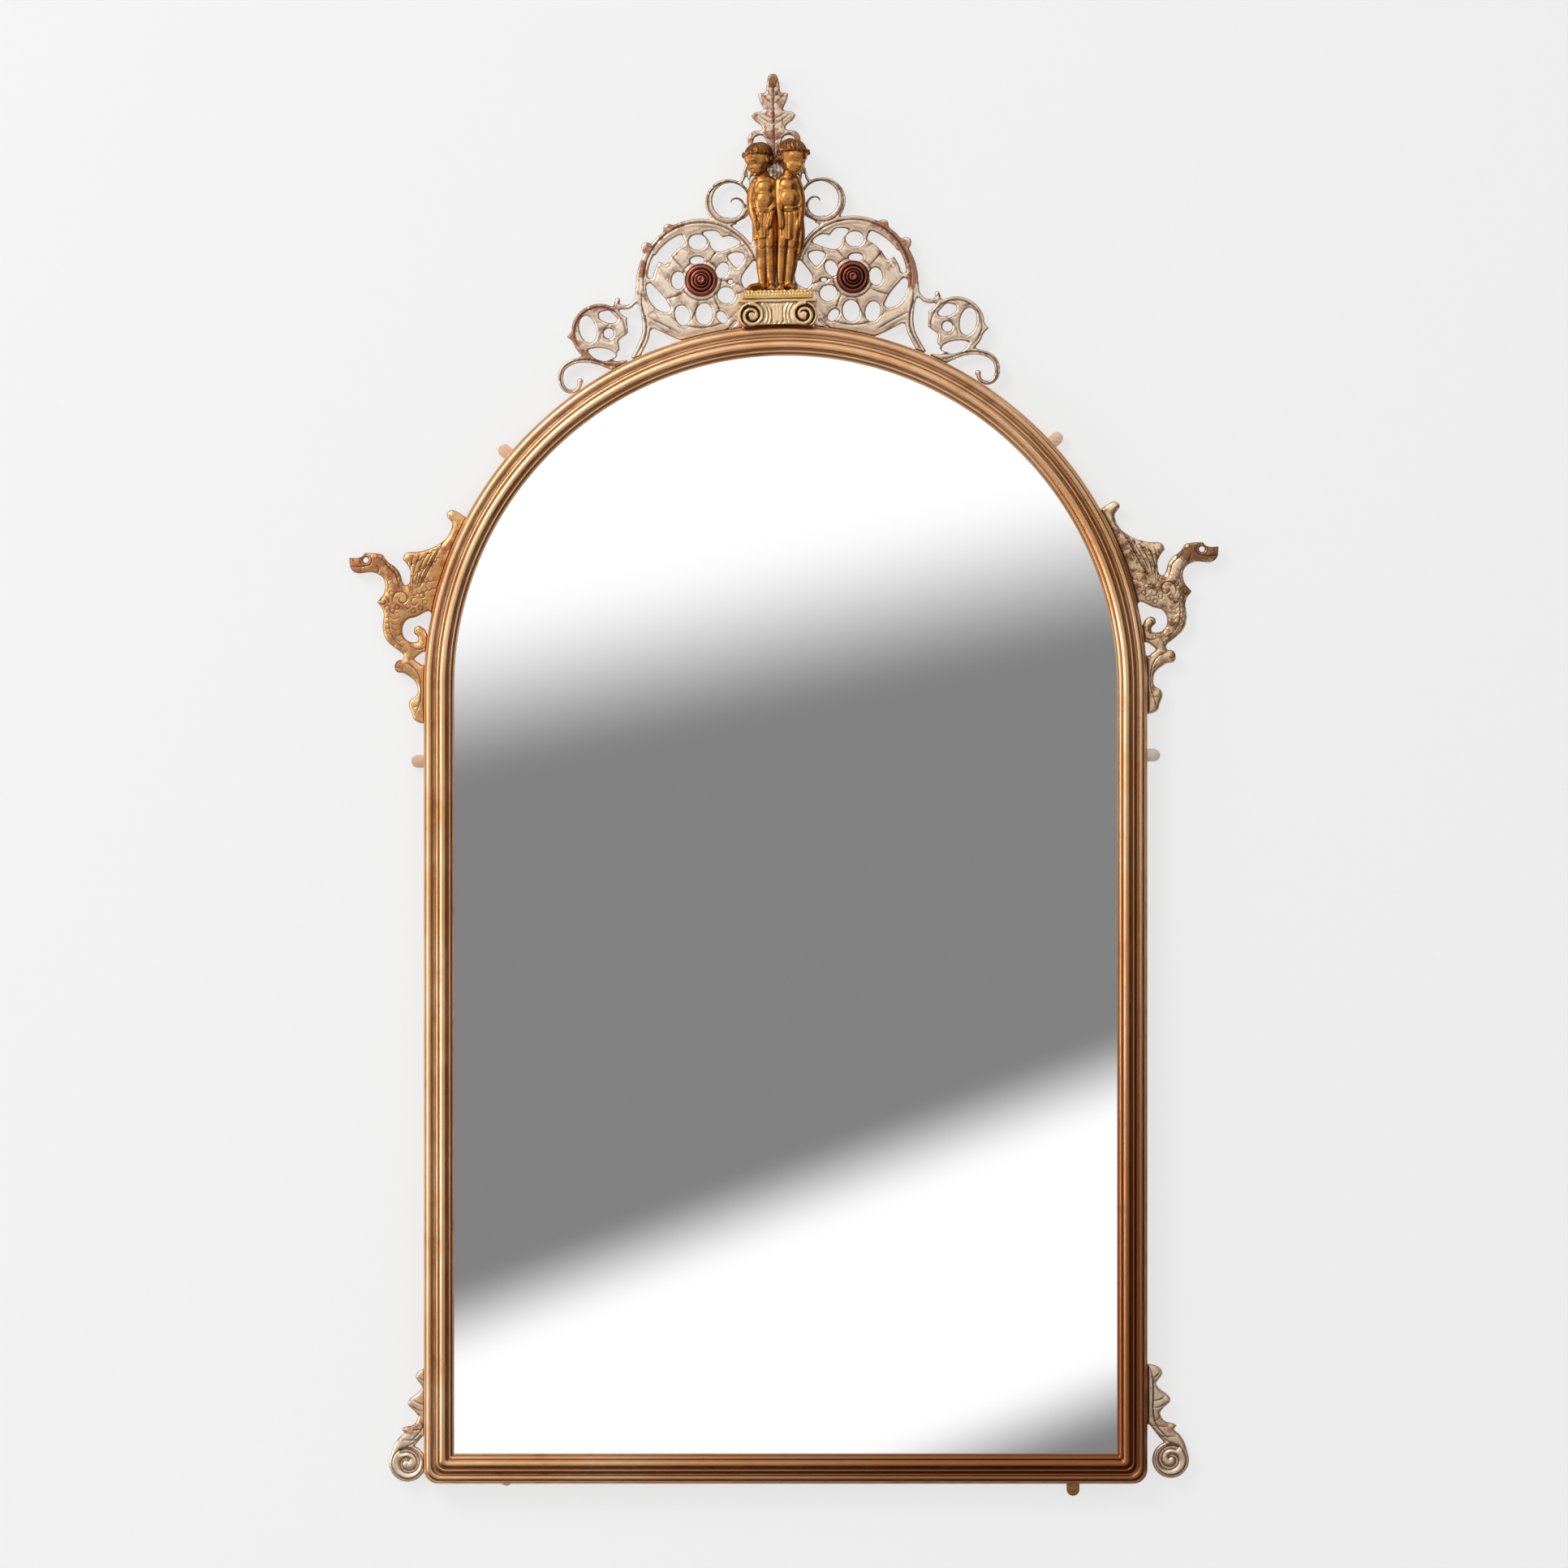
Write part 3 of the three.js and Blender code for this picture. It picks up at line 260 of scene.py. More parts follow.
def grey_card(bench):
    """A slanting grey band and a grey corner, laid out in columns and rows of the photograph."""
    column = bench.along(0) * (CARD_SIZE / SPREAD) + HALF_FRAME
    row = HALF_FRAME - bench.along(1) * (CARD_SIZE / SPREAD)

    def below(column_there, row_there, slope):
        """How far down a point lies from a slanting line through that column and row."""
        return row - (row_there + slope * (column_there - column))

    band = bench.band(below(580, 860, 0.215), -125, 115) * bench.band(below(575, 1640, 0.382), 50, -75)
    grey = (band + bench.band(below(1250, 1762, 0.382), -60, 60)).clipped()
    return bench.blend(grey, CARD_LIGHT, CARD_GREY)


card("grey_card", (aim.x, -CARD_BACK, aim.z), (90, 0, 0), (CARD_SIZE, CARD_SIZE), grey_card)


# ---------- the moulding ----------
# Four lengths of cast bronze moulding, brazed end to end and polished on the reeds: a fine bead at
# the glass, a tall reed, a narrow reed, a hollow and an outer reed. Here it is one body, so that
# the seams don't show, drawn station by station round the mirror.

FRAME_NODES = ["frame_arch", "frame_left_stile", "frame_right_stile", "frame_bottom_rail"]
arch_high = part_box("frame_arch")[1]
rail_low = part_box("frame_bottom_rail")[0]
stile_low, stile_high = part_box("frame_right_stile")
OUTER = arch_high.x
MOULD = stile_high.x - stile_low.x
SIGHT = OUTER - MOULD
BACK_Y = arch_high.y
RAIL_Z = rail_low.z
LIP_FRONT = 12.8  # millimetres from the back of the frame: the rebate, 11 deep, and the lip of 1.8
SHARP, ROUND = 0.5 * MM, 14 * MM  # corner radius at the sight edge and at the outer edge
STEEP = (ROUND - SHARP) / MOULD


def reed(u, d, r, start, stop, steps):
    """A round reed: across, height, and how deep in a groove each point lies, from 0 to 1."""
    points = []
    for k in range(steps + 1):
        a = math.radians(start + (stop - start) * k / steps)
        points.append((u + r * math.cos(a), d + r * math.sin(a), abs(2 * k / steps - 1) ** 3))
    return points


def moulding_section():
    """The whole outline, from the sight edge outwards and back: across, height and hollowness."""
    # the third number, the hollowness, darkens the metal: patina and painted shade in the grooves, painted
    # shade in the rebate
    lip = LIP_FRONT
    front = [(0, lip - 1.4, 0.9), (0, lip - 0.5, 0.5), (0.2, lip - 0.1, 0.3), (0.9, lip, 0.6)]
    front += [(1.7, lip + 0.1, 0.9)]
    front += reed(4.2, lip + 1.0, 2.0, 168, 30, 9)
    front += reed(10.2, lip + 3.2, 4.6, 196, 20, 22)
    front += reed(15.9, lip + 4.3, 1.5, 172, 12, 9)
    front += [(17.8, lip + 3.4, 0.8), (18.5, lip + 2.7, 1), (19.3, lip + 2.4, 1), (20.0, lip + 2.5, 1)]
    front += reed(24.0, lip + 1.2, 3.5, 156, 8, 15)
    front += [(28.1, 12.6, 0.7), (28.5, 11.7, 0.8), (29.1, 11.1, 0.4), (29.6, 10.2, 0.1), (29.9, 9.2, 0.0)]
    front += [(30, 8, 0), (30, 4, 0.1), (30, 0.5, 0.2), (29.5, 0, 0.2)]
    # the flat back, and the rebate, 10 mm wide and 11 deep
    front += [(20, 0, 0.2), (10.3, 0, 0.2), (10, 0.3, 0.3), (10, 6, 0.8), (10, 11, 1), (5, 11, 1), (0, 11, 1)]
    return [(u * MM, d * MM, deep) for u, d, deep in front]


def on_arch(degrees):
    c, s = math.cos(math.radians(degrees)), math.sin(math.radians(degrees))
    return lambda u: ((SIGHT + u) * c, (SIGHT + u) * s)


def on_stile(side, z):
    return lambda u: (side * (SIGHT + u), z)


def on_corner(side, degrees):
    c, s = math.cos(math.radians(degrees)), math.sin(math.radians(degrees))

    def place(u):
        r = SHARP + STEEP * u
        return side * (SIGHT + u - r + r * c), RAIL_Z + MOULD - u + r - r * s

    return place


def on_rail(x):
    return lambda u: (x, RAIL_Z + MOULD - u)


stations = [on_arch(1.5 * k) for k in range(121)]
foot = RAIL_Z + MOULD + 2 * SHARP
stations += [on_stile(-1, foot * k / 60) for k in range(1, 60)]
stations += [on_corner(-1, 7.5 * k) for k in range(13)]
stations += [on_rail((SIGHT - 3 * MM) * (k / 25 - 1)) for k in range(1, 50)]
stations += [on_corner(1, 90 - 7.5 * k) for k in range(13)]
stations += [on_stile(1, foot * (1 - k / 60)) for k in range(1, 60)]


def pick(piece):
    """Selects one piece alone and makes it the active one."""
    bpy.ops.object.select_all(action="DESELECT")
    piece.select_set(True)
    bpy.context.view_layer.objects.active = piece


def in_edit(piece, work):
    """Opens a piece for modelling, hands its mesh to the work, and closes it again."""
    pick(piece)
    bpy.ops.object.mode_set(mode="EDIT")
    work(bmesh.from_edit_mesh(piece.data))
    bmesh.update_edit_mesh(piece.data)
    bpy.ops.object.mode_set(mode="OBJECT")


section = moulding_section()
bpy.ops.mesh.primitive_circle_add(vertices=len(section), radius=0.1)
moulding = bpy.context.object
moulding.name = "moulding"


def draw_moulding(mesh):
    """Sets the ring of corners on the first station and extrudes it from one station to the next."""
    across = mesh.verts.layers.float.new("across")
    height = mesh.verts.layers.float.new("height")
    hollow = mesh.verts.layers.float.new("hollow")
    mesh.verts.ensure_lookup_table()
    for vertex, (u, d, deep) in zip(mesh.verts, section):
        vertex[across], vertex[height], vertex[hollow] = u, d, deep

    def settle(station):
        for vertex in mesh.verts:
            if vertex.select:
                x, z = station(vertex[across])
                vertex.co = (x, BACK_Y - vertex[height], z)

    settle(stations[0])
    first = [vertex.index for vertex in mesh.verts]
    for station in stations[1:]:
        bpy.ops.mesh.extrude_region()
        settle(station)
    # the last ring is joined to the first
    mesh.verts.ensure_lookup_table()
    for k in first:
        mesh.verts[k].select = True
    for edge in mesh.edges:
        if edge.verts[0].select and edge.verts[1].select:
            edge.select = True
    bpy.ops.mesh.bridge_edge_loops()
    bpy.ops.mesh.select_all(action="SELECT")
    bpy.ops.mesh.normals_make_consistent(inside=False)


in_edit(moulding, draw_moulding)
bpy.ops.object.shade_smooth_by_angle(angle=math.radians(50))


def metal(name, light, mid, dark, tarnish, rough, spots=1.0, grain=1.0):
    """Patinated metal: dark in the hollows with patina and painted shade, tarnished in clouds and specks, and
    painted darker towards the lower right as shade.
    """
    material = bpy.data.materials.new(name)
    bench = Bench(material)
    clouds = bench.cloud(9.0, 5.0, 0.55, warp=0.4)
    fine = bench.cloud(60.0, 4.0, 0.6)
    body = bench.blend(bench.band(clouds, 0.36, 0.66), mid, light)
    body = bench.blend(bench.band(fine, 0.52, 0.78) * (0.55 * spots), body, tarnish)
    # the hollows darken: patina, and painted shade where the grooves lie in shadow
    hollow_patina_and_shade = (bench.band(bench.trait("hollow"), 0.22, 0.95) * (0.3 + 0.4 * fine)).clipped()
    body = bench.blend(hollow_patina_and_shade, body, dark)
    # painted shade: browner and darker towards the lower right, away from the lamps
    lower_right_shade = bench.band(bench.along(0) - 0.8 * bench.along(2) + 0.2 * clouds, 0.2, 0.95)
    body = bench.blend(0.95 * lower_right_shade, body, tarnish)
    gloss = rough + 0.16 * bench.band(fine, 0.35, 0.75) + 0.28 * hollow_patina_and_shade
    height = 0.4 * bench.cloud(60.0, 2.0) + 0.5 * bench.cloud(24.0, 2.0)
    bump = bench.node("Bump", inputs={"Strength": 0.12 * grain, "Distance": 0.6 * MM, "Height": height})
    inputs = {"Base Color": body, "Metallic": 1.0, "Roughness": gloss.clipped(), "Normal": bump}
    bench.finish(bench.node("BsdfPrincipled", inputs=inputs))
    return material


copper = metal("copper bronze", (0.85, 0.53, 0.305), (0.69, 0.37, 0.168), (0.07, 0.018, 0.004),
               (0.26, 0.09, 0.032), rough=0.31, spots=0.5, grain=0.25)
clad(moulding, copper)
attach(moulding, "frame")
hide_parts(*FRAME_NODES)


# ---------- the mirror plate ----------
# Silvered plate glass, 5 mm thick, in the rebate behind the lip, with a felt sheet and a backboard
# behind it. It shows the grey card that stands behind the camera.

silver = bpy.data.materials.new("silvered glass")
bench = Bench(silver)
haze = bench.cloud(6.0, 3.0)
inputs = {"Base Color": (0.94, 0.945, 0.94), "Metallic": 1.0, "Roughness": 0.012 + 0.01 * haze}
bench.finish(bench.node("BsdfPrincipled", inputs=inputs))
clad(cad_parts["mirror_glass"], silver)

FELT, WOOD = (0.03, 0.03, 0.028), (0.24, 0.15, 0.08)
for node, colour, rough in (("felt_sheet", FELT, 0.95), ("backboard", WOOD, 0.6)):
    material = bpy.data.materials.new(node)
    bench = Bench(material)
    grain = bench.cloud(30.0, 6.0, 0.6, stretch=(8, 8, 0.6), warp=0.6)
    tone = bench.blend(bench.band(grain, 0.3, 0.7), colour, tuple(0.6 * c for c in colour))
    bump = bench.node("Bump", inputs={"Strength": 0.2, "Distance": 0.4 * MM, "Height": grain})
    inputs = {"Base Color": tone, "Roughness": rough, "Normal": bump}
    bench.finish(bench.node("BsdfPrincipled", inputs=inputs))
    clad(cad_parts[node], material)


# ---------- the crest ----------
# One pierced plate of cast bronze: a leaf, two great roundels with a flower in each, and small
# scrolls that run down the arch. It is filed round at every edge, chased with fine grooves and
# left pale, with pink-brown oxide where hands and dust have been. It has slipped a little.

TOP = OUTER / MM  # height of the top of the arch, in millimetres like every drawn line below
CREST_SLIP = math.radians(1.2)
FLOWER = (75, 46.5)
UPPER_RING = (46.4, 123.0)
SMALL_RING = (176, -3)


def smooth_line(points, step=0.5):
    """Close samples of a smooth curve through the points; it closes where its ends meet."""
    p = np.array(points, float)
    closed = len(p) > 3 and np.allclose(p[0], p[-1])
    before, after = (p[-2], p[1]) if closed else (2 * p[0] - p[1], 2 * p[-1] - p[-2])
    p = np.vstack([before, p, after])
    found = []
    for a, b, c, d in zip(p, p[1:], p[2:], p[3:]):
        t = np.linspace(0, 1, max(2, int(np.linalg.norm(c - b) / step)), endpoint=False)[:, None]
        cubic = (2 * a - 5 * b + 4 * c - d) * t**2 + (3 * b - a - 3 * c + d) * t**3
        found.append(0.5 * (2 * b + (c - a) * t + cubic))
    return np.vstack([*found, p[-2:-1]])


def arc(centre, radii, degrees):
    """An arc or, with two radii, a spiral."""
    r0, r1 = radii if isinstance(radii, tuple) else (radii, radii)
    count = max(4, int(abs(degrees[1] - degrees[0]) / 6))
    turn = np.radians(np.linspace(*degrees, count))
    r = np.linspace(r0, r1, count)
    return np.column_stack([centre[0] + r * np.cos(turn), centre[1] + r * np.sin(turn)])


def crest_lines():
    """Grooves of half the crest: points, width and depth."""
    (ux, uh), (sx, sh) = UPPER_RING, SMALL_RING
    yield arc(FLOWER, 57.2, (-18, 214)), 1.7, 0.8
    yield arc(FLOWER, 53.4, (70, 214)), 1.1, 0.4
    yield arc(FLOWER, 19.6, (0, 360)), 1.6, 0.6
    for turn in (38, 118, 184, 238, 281, 330):
        yield arc(FLOWER, (19, 43), (turn - 4, turn + 5)), 1.5, 0.6
    for turn, reach in ((60, 47), (100, 48), (140, 46), (200, 50)):
        yield arc(FLOWER, (30, reach), (turn + 8, turn - 10)), 1.2, 0.45
    yield arc(FLOWER, 46.6, (222, 316)), 1.5, 0.6
    yield arc(UPPER_RING, 20.5, (-60, 300)), 1.5, 0.6
    yield arc((ux - 4.8, uh - 2.2), (16, 2.6), (-62, -330)), 1.1, 0.4
    yield arc(SMALL_RING, 25.2, (-60, 220)), 1.5, 0.6
    yield [(134, 38), (134, 22), (130, 6), (132, -10), (143, -30)], 1.6, 0.7
    yield [(96, -6), (112, 3), (128, 11)], 1.5, 0.6
    yield [(104, -9), (116, 0), (129, 6)], 1.1, 0.4
    yield [(140, 30), (152, 21.6), (162, 23.6)], 1.1, 0.4
    yield [(152, -37), (168, -35), (184, -30), (201, -30.4), (213.4, -38), (215.4, -52), (209, -60),
           (199.6, -58.6)], 1.6, 0.7
    yield [(sx - 20, sh + 14), (sx - 8, sh + 7), (sx, sh - 4), (sx + 1, sh - 12)], 1.2, 0.5
    yield [(sx - 12, sh - 10), (sx - 6, sh - 6), (sx, sh - 4)], 1.0, 0.4
    for across in (3.5, 9.5, 15.5):
        yield [(across, 32), (across, 80), (across - 1, 128), (across * 0.4, 168)], 1.5, 0.5
    # the veins of the leaf
    yield [(0, 168), (0, 200), (0, 245)], 1.5, 0.7
    for low, out in ((176, (21, 184)), (184, (19, 191)), (199, (16, 209.6)), (205, (12, 211)),
                     (219, (12, 230)), (226, (7, 234)), (234, (4, 243))):
        yield [(0.4, low), (0.5 * out[0], (low + out[1]) / 2 - 1.0), out], 1.1, 0.5


def crest_stains():
    """Where the oxide lies: side, points, width and strength."""
    yield -1, arc(SMALL_RING, 27, (-90, 120)), 8, 1.0
    yield -1, [(150, -37), (166, -35), (184, -30)], 8, 0.8
    yield -1, arc(FLOWER, 59, (5, 75)), 8, 0.55
    yield 1, arc(FLOWER, 58, (-8, 66)), 9, 1.0
    yield 1, arc(FLOWER, 40, (20, 40)), 9, 0.5
    yield 1, [(201, -34), (213, -50), (200, -60)], 7, 0.35
    yield 1, [(0, 236), (0, 250)], 14, 0.9
    yield 1, [(0, 170), (0, 235)], 40, 0.45
    yield 1, [(18, 206), (24, 184)], 7, 0.5
    yield -1, [(18, 206), (24, 184)], 7, 0.6
    for side in (-1, 1):
        yield side, arc(UPPER_RING, 21, (10, 190)), 6, 0.4
        for turn in (59.1, 31.9):
            yield side, arc(FLOWER, 60, (turn - 4, turn + 4)), 8, 0.9


def handed(side, points, out=0.0, up=0.0):
    """Drawn points moved out and up, on the left side (-1) or the right (1)."""
    points = np.asarray(points, float)
    return np.column_stack([side * (points[:, 0] + out), points[:, 1] + up])


def in_metres(points, slip):
    """From drawn millimetres, x and z, to places on the turned plate."""
    c, s = math.cos(slip), math.sin(slip)
    return np.asarray(points, float) @ np.array([[c, s], [-s, c]]) * MM


def nearest(marks, spots):
    """For each spot, the row number of the nearest mark, and its distance."""
    tree = kdtree.KDTree(len(marks))
    for k, (x, z) in enumerate(marks[:, :2]):
        tree.insert((x, z, 0), k)
    tree.balance()
    found = [tree.find((x, z, 0))[1:] for x, z in spots]
    return np.array([k for k, _ in found]), np.array([d for _, d in found])


def rims(mesh):
    """Close samples of the sharp front edges: place, step to a smooth outline, way out of the metal."""
    sharp = {}
    for edge in mesh.edges:
        if len(edge.link_faces) == 2:
            top, side = sorted((face.normal for face in edge.link_faces), key=lambda normal: normal.y)
            if top.y < -0.9 and side.y > -0.5:
                for one, other in (edge.verts, reversed(edge.verts)):
                    sharp.setdefault(one, []).append((other, side.xz.normalized()))
    found = []

    def beyond(near, far):
        """The corner after near, or a straight way on where the outline turns sharply."""
        a, b = far.co.xz, near.co.xz
        on = [v.co.xz for v, _ in sharp[near] if v != far]
        if len(on) == 1 and (on[0] - b).length > 0 and (b - a).angle(on[0] - b, 3) < math.radians(50):
            return on[0]
        return 2 * b - a

    for one, others in sharp.items():
        for other, outwards in others:
            if one.index < other.index:
                a, b = one.co.xz, other.co.xz
                before, after = beyond(one, other), beyond(other, one)
                square, cube = 2 * before - 5 * a + 4 * b - after, 3 * a - before - 3 * b + after
                count = max(1, int((b - a).length / (0.3 * MM)))
                for k in range(count):
                    t = (k + 0.5) / count
                    flat = a.lerp(b, t)
                    bent = 0.5 * (2 * a + (b - before) * t + square * t**2 + cube * t**3)
                    found.append((*flat, *(bent - flat), *outwards))
    return np.array(found)


def paint(mesh, name, values):
    """Paints one value on each corner, for the bench's traits."""
    mesh.attributes.new(name, "FLOAT", "POINT").data.foreach_set("value", np.asarray(values, np.float32))


def copied(name, node):
    """A copy of one of the frame's own pieces, to be worked on."""
    made = bpy.data.objects.new(name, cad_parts[node].data.copy())
    scene.collection.objects.link(made)
    return made


def merge(mesh):
    """Joins the corners that the faces of the frame's pieces have in common."""
    bpy.ops.mesh.select_all(action="SELECT")
    bpy.ops.mesh.remove_doubles(threshold=0.001 * MM)


def modify(piece, kind, **settings):
    """Adds one modifier to the piece that is picked, and applies it."""
    bpy.ops.object.modifier_add(type=kind)
    modifier = piece.modifiers[-1]
    for name, value in settings.items():
        setattr(modifier, name, value)
    bpy.ops.object.modifier_apply(modifier=modifier.name)


BROKEN = 0.9 * MM


def cast_plate(name, node, fine, rounding, dome, reach, lines, stains, slip, filed=0.0, chased=0.0):
    """A cast and chased plate: the plate of the frame, meshed finely and worked over in front."""
    plate = copied(name, node)
    kept = {}

    def clean(mesh):
        merge(mesh)
        mesh.verts.index_update()
        mesh.normal_update()
        kept["rims"] = rims(mesh)

    in_edit(plate, clean)
    modify(plate, "REMESH", mode="VOXEL", voxel_size=fine)
    spots = np.empty(3 * len(plate.data.vertices))
    plate.data.vertices.foreach_get("co", spots)
    spots = spots.reshape(-1, 3)
    front, back = spots[:, 1].min(), spots[:, 1].max()
    raised = np.clip((0.5 * (front + back) - 0.5 * MM - spots[:, 1]) / (2 * MM), 0, 1)
    # the outlines become smooth, and the file has taken a little off at every opening
    mark, rim = nearest(kept["rims"], spots[:, [0, 2]])
    pull = np.clip(1.7 - rim / (2.5 * MM), 0, 1)[:, None]
    spots[:, [0, 2]] += np.clip(kept["rims"][mark, 2:4], -0.9 * MM, 0.9 * MM) * pull
    spots[:, [0, 2]] -= kept["rims"][mark, 4:] * filed * np.clip(1.25 - rim / (2 * MM), 0, 1)[:, None]
    # the back edges are broken
    at_back = np.clip((spots[:, 1] - back) / (1 * MM) + 1, 0, 1)
    broken = np.clip(1 - rim / BROKEN, 0, 1) * at_back
    spots[:, 1] -= BROKEN * (1 - np.sqrt(1 - broken**2))
    # the front is rounded at its edges, domed, and chased with a line that follows them
    near_front = raised > 0
    flat, rim = spots[near_front][:, [0, 2]], rim[near_front]
    inwards = np.clip(1 - rim / rounding, 0, 1)
    depth = rounding * (1 - np.sqrt(1 - inwards**2))
    depth -= dome * (1 - (1 - np.clip(rim / reach, 0, 1)) ** 2)
    # painted shade: a dark band round the rim of every opening, for the shadow cast by the plate's thickness
    hollow = 0.8 * np.clip(1.1 - rim / (0.8 * MM), 0, 1)
    strand = np.exp(-(((rim - 3.6 * MM) / (1.0 * MM)) ** 2)) * chased
    depth += 0.4 * MM * strand
    # the drawn grooves
    rows = []
    for points, width, deep in lines:
        spread = in_metres(smooth_line(points), slip)
        fade = np.sin(np.linspace(0, math.pi, len(spread))) ** 0.3 + 0.05
        if np.allclose(spread[0], spread[-1], atol=0.2 * MM):
            fade[:] = 1
        half = np.full(len(spread), max(0.5 * width * MM, 1.4 * fine))
        rows.append(np.column_stack([spread, half, 0.9 * deep * MM * fade]))
    rows = np.vstack(rows)
    mark, away = nearest(rows, flat)
    groove = np.clip(1 - (away / rows[mark, 2]) ** 2, 0, 1) ** 2
    depth += groove * rows[mark, 3]
    # the chased line and the grooves are darkened too, with patina and painted shade
    hollow = np.maximum(hollow, 0.45 * strand)
    hollow = np.maximum(hollow, groove * np.clip(rows[mark, 3] / (0.6 * MM), 0.3, 1))
    shoulder = np.exp(-(((away - 1.5 * rows[mark, 2]) / (0.4 * rows[mark, 2])) ** 2))
    edge = np.maximum(0.6 * shoulder, np.exp(-(((rim - rounding) / (0.5 * MM)) ** 2)))
    uneven = [noise.noise(Vector((x, 7.0, z)) * 90) for x, z in flat]
    depth += 0.22 * MM * np.array(uneven)
    spots[near_front, 1] += depth * raised[near_front]
    plate.data.vertices.foreach_set("co", spots.ravel())
    # the stains are only painted
    rows = [in_metres(smooth_line(points, 1.5), slip) for points, _, _ in stains]
    mark, away = nearest(np.vstack(rows), flat)
    kind = np.repeat(np.arange(len(rows)), [len(row) for row in rows])[mark]
    width, strength = np.array([entry[1:] for entry in stains], float).T
    stain = strength[kind] * np.clip(1.5 - away / (0.5 * width[kind] * MM), 0, 1)
    for trait, values in (("hollow", hollow), ("edge", edge), ("stain", stain)):
        whole = np.zeros(len(spots))
        whole[near_front] = values
        paint(plate.data, trait, whole)
    bpy.ops.object.shade_smooth_by_angle(angle=math.radians(60))
    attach(plate, "frame")
    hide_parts(node)
    return plate


def worn_bronze(name, light, mid, dark, oxide, cover, rough=0.34, grain=1.0, hair=None):
    """Bronze that is bright where it is rubbed, dark in the grooves with patina and painted shade, and
    stained with oxide.
    """
    material = bpy.data.materials.new(name)
    bench = Bench(material)
    hollow, edge, stain = bench.trait("hollow"), bench.trait("edge"), bench.trait("stain")
    clouds = bench.cloud(11.0, 5.0, 0.6, warp=0.4)
    fine = bench.cloud(120.0, 6.0, 0.7)
    grit = bench.cloud(480.0, 2.0, 0.5)
    body = bench.blend(bench.band(clouds, 0.36, 0.64), mid, light)
    blotch = bench.band(1.3 * fine + 0.5 * clouds + 0.24 * stain, 0.90, 1.14)
    oxidised = (blotch * (cover + 0.6 * stain)).clipped()
    body = bench.blend(oxidised, body, oxide)
    if hair:
        body = bench.blend(bench.trait("hair") * (0.6 + 0.4 * clouds), body, hair)
    # the hollows darken: patina, and painted shade
    hollow_patina_and_shade = (bench.band(hollow, 0.1, 0.85) * (0.55 + 0.7 * fine)).clipped()
    body = bench.blend(hollow_patina_and_shade, body, dark)
    body = bench.blend(bench.band(edge, 0.3, 1.0) * (0.5 - 0.3 * oxidised), body, light)
    gloss = rough + 0.22 * oxidised + 0.3 * hollow_patina_and_shade + 0.1 * bench.band(grit, 0.4, 0.7)
    height = 0.5 * fine + 0.35 * grit + 0.4 * bench.cloud(30.0, 2.0)
    bump = bench.node("Bump", inputs={"Strength": 0.22 * grain, "Distance": 0.6 * MM, "Height": height})
    inputs = {"Base Color": body, "Metallic": 1.0 - 0.35 * oxidised,
              "Roughness": gloss.clipped(), "Normal": bump}
    bench.finish(bench.node("BsdfPrincipled", inputs=inputs))
    return material


lines = [(handed(side, points, up=TOP), width, deep)
         for points, width, deep in crest_lines() for side in (-1, 1)]
stains = [(handed(side, points, up=TOP), width, strength) for side, points, width, strength in crest_stains()]
crest = cast_plate("crest", "crest_plate", 1.15 * MM, 1.3 * MM, 0.6 * MM, 5 * MM, lines, stains, CREST_SLIP,
                   filed=0.5 * MM, chased=1.0)
champagne = worn_bronze("champagne bronze", (0.88, 0.75, 0.59), (0.71, 0.52, 0.38), (0.085, 0.036, 0.02),
                        (0.38, 0.175, 0.10), rough=0.3, cover=0.85)
clad(crest, champagne)


# ---------- the winged dragons ----------
# Two flat castings, screwed behind the arch at its shoulders: a small winged dragon looking out,
# with a pierced eye, a feathered wing that leans on the arch, and a tail that runs down into a
# leaf. They are chased and stippled, golden on the left and greyer brown on the right.

DRAGON_SLIP = math.radians(0.75)


